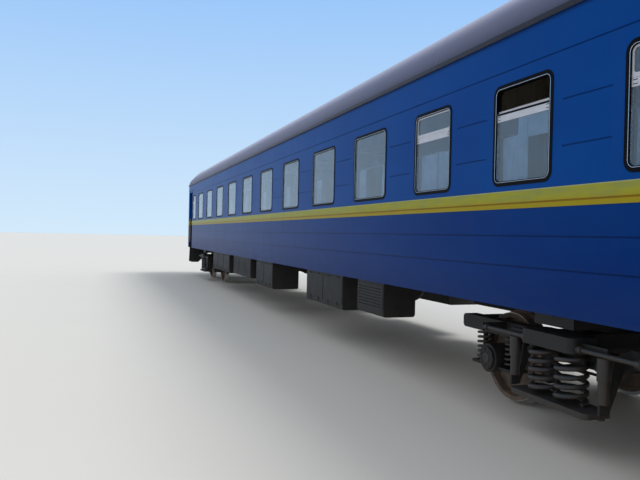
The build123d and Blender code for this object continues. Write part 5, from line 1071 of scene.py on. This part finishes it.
def addEndPaneBead(end):
    low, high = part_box(f"end_door_{end}")
    paneLow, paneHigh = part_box(f"end_door_glass_{end}")
    way = 1 if high[0] > 0 else -1
    face = high[0] if way > 0 else low[0]
    points, faces = [], []
    paneBead(points, faces, paneLow[1], paneHigh[1], paneLow[2], paneHigh[2],
             lambda a, b, out: (face + way * out, a, b), way < 0)
    newPiece(f"end_pane_bead_{end}", points, faces, f"end_door_{end}", "seal_rubber")


for tag in ("near_platform", "near_corridor", "far_platform", "far_corridor"):
    addPaneBead(tag)
    addDoorPlates(tag)
addRainStrips()
addEndPaneBead("near")
addEndPaneBead("far")
print("coach: door fittings made")


# Studded tread on the step flaps and bridge plates

studLook = {
    "long": 0.013, "wide": 0.005, "high": 0.0012, "sunk": 0.0004, "topShare": 0.55, "slant": 45,
    "pitch": 0.042, "edge": 0.035,
}


def addStuds(node):
    look = studLook
    low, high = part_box(node)
    points, faces = [], []
    columns = int((high[0] - low[0] - 2 * look["edge"]) / look["pitch"])
    rows = int((high[1] - low[1] - 2 * look["edge"]) / look["pitch"])
    corners = ((look["long"], 0), (0, look["wide"]), (-look["long"], 0), (0, -look["wide"]))
    for i in range(columns + 1):
        for j in range(rows + 1):
            x, y = low[0] + look["edge"] + i * look["pitch"], low[1] + look["edge"] + j * look["pitch"]
            turn = math.radians(look["slant"] if (i + j) % 2 else -look["slant"])
            base = len(points)
            for scale, z in ((1.0, -look["sunk"]), (look["topShare"], look["high"])):
                for a, b in corners:
                    points.append((x + scale * (a * math.cos(turn) - b * math.sin(turn)),
                                   y + scale * (a * math.sin(turn) + b * math.cos(turn)),
                                   high[2] + z))
            for n in range(4):
                m = (n + 1) % 4
                faces.append((base + n, base + m, base + 4 + m, base + 4 + n))
            faces.append((base + 4, base + 5, base + 6, base + 7))
    newPiece(f"studs_{node}", points, faces, node, "tread_plate", smooth=False)


for end in ("near", "far"):
    addStuds(f"bridge_plate_{end}")
    for side in ("platform", "corridor"):
        addStuds(f"step_flap_{end}_{side}")
print("coach: treads studded")


# Bolted covers on the axle boxes

boltLook = {
    "ring": 0.098, "count": 8, "head": 0.0115, "headSides": 6, "cap": 0.052, "capSteps": 28,
    "sunk": 0.0005,
    # Columns: radius as a share of the head's or the cap's, height over the cover in metres
    "headOutline": ((1.35, 0), (1.35, 0.002), (1.0, 0.0025), (1.0, 0.0075), (0.82, 0.009), (0, 0.009)),
    "capOutline": ((1.0, 0), (1.0, 0.0036), (0.93, 0.006), (0.5, 0.006), (0.44, 0.003), (0, 0.003)),
}


def addCoverBolts():
    look = boltLook
    head = [(look["head"] * share, height) for share, height in look["headOutline"]]
    cap = [(look["cap"] * share, height) for share, height in look["capOutline"]]
    z = runningGear["axleZ"]
    for end, name in ((1, "near"), (-1, "far")):
        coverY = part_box(f"bogie_{name}_axle_boxes")[1][1]
        points, faces = [], []
        for wheel in (-1, 1):
            for side in (-1, 1):
                x = end * runningGear["bogieX"] + wheel * runningGear["halfBase"]
                y, out = side * (coverY - look["sunk"]), (0, side, 0)
                for n in range(look["count"]):
                    angle = math.tau * (n + 0.5) / look["count"]
                    spot = (x + look["ring"] * math.cos(angle), y, z + look["ring"] * math.sin(angle))
                    turnedBit(points, faces, spot, out, head, look["headSides"])
                turnedBit(points, faces, (x, y, z), out, cap, look["capSteps"])
        newPiece(f"cover_bolts_{name}", points, faces, f"bogie_{name}", "spring_steel", smooth=False)


# Bezels round the tail lamps

bezelLook = {
    # Columns: radius, height over the wall
    "section": ((0.078, 0.0), (0.075, 0.014), (0.0642, 0.016), (0.0622, 0.0)),
    "steps": 36,
}


def addBezels():
    look = bezelLook
    points, faces = [], []
    for low, high in solidBoxes("tail_lamps"):
        end = 1 if high[0] > 0 else -1
        seat = low[0] if end > 0 else high[0]
        y, z = middleOf(low, high)[1:]
        rings = [[(seat + end * out, y + a, z + b) for a, b in circle(radius, look["steps"])]
                 for radius, out in look["section"]]
        ribAlong(points, faces, rings, end < 0)
    newPiece("lamp_bezels", points, faces, "coach_body", "window_metal", brightTrim)


addCoverBolts()
addBezels()
print("coach: bolts and bezels made")
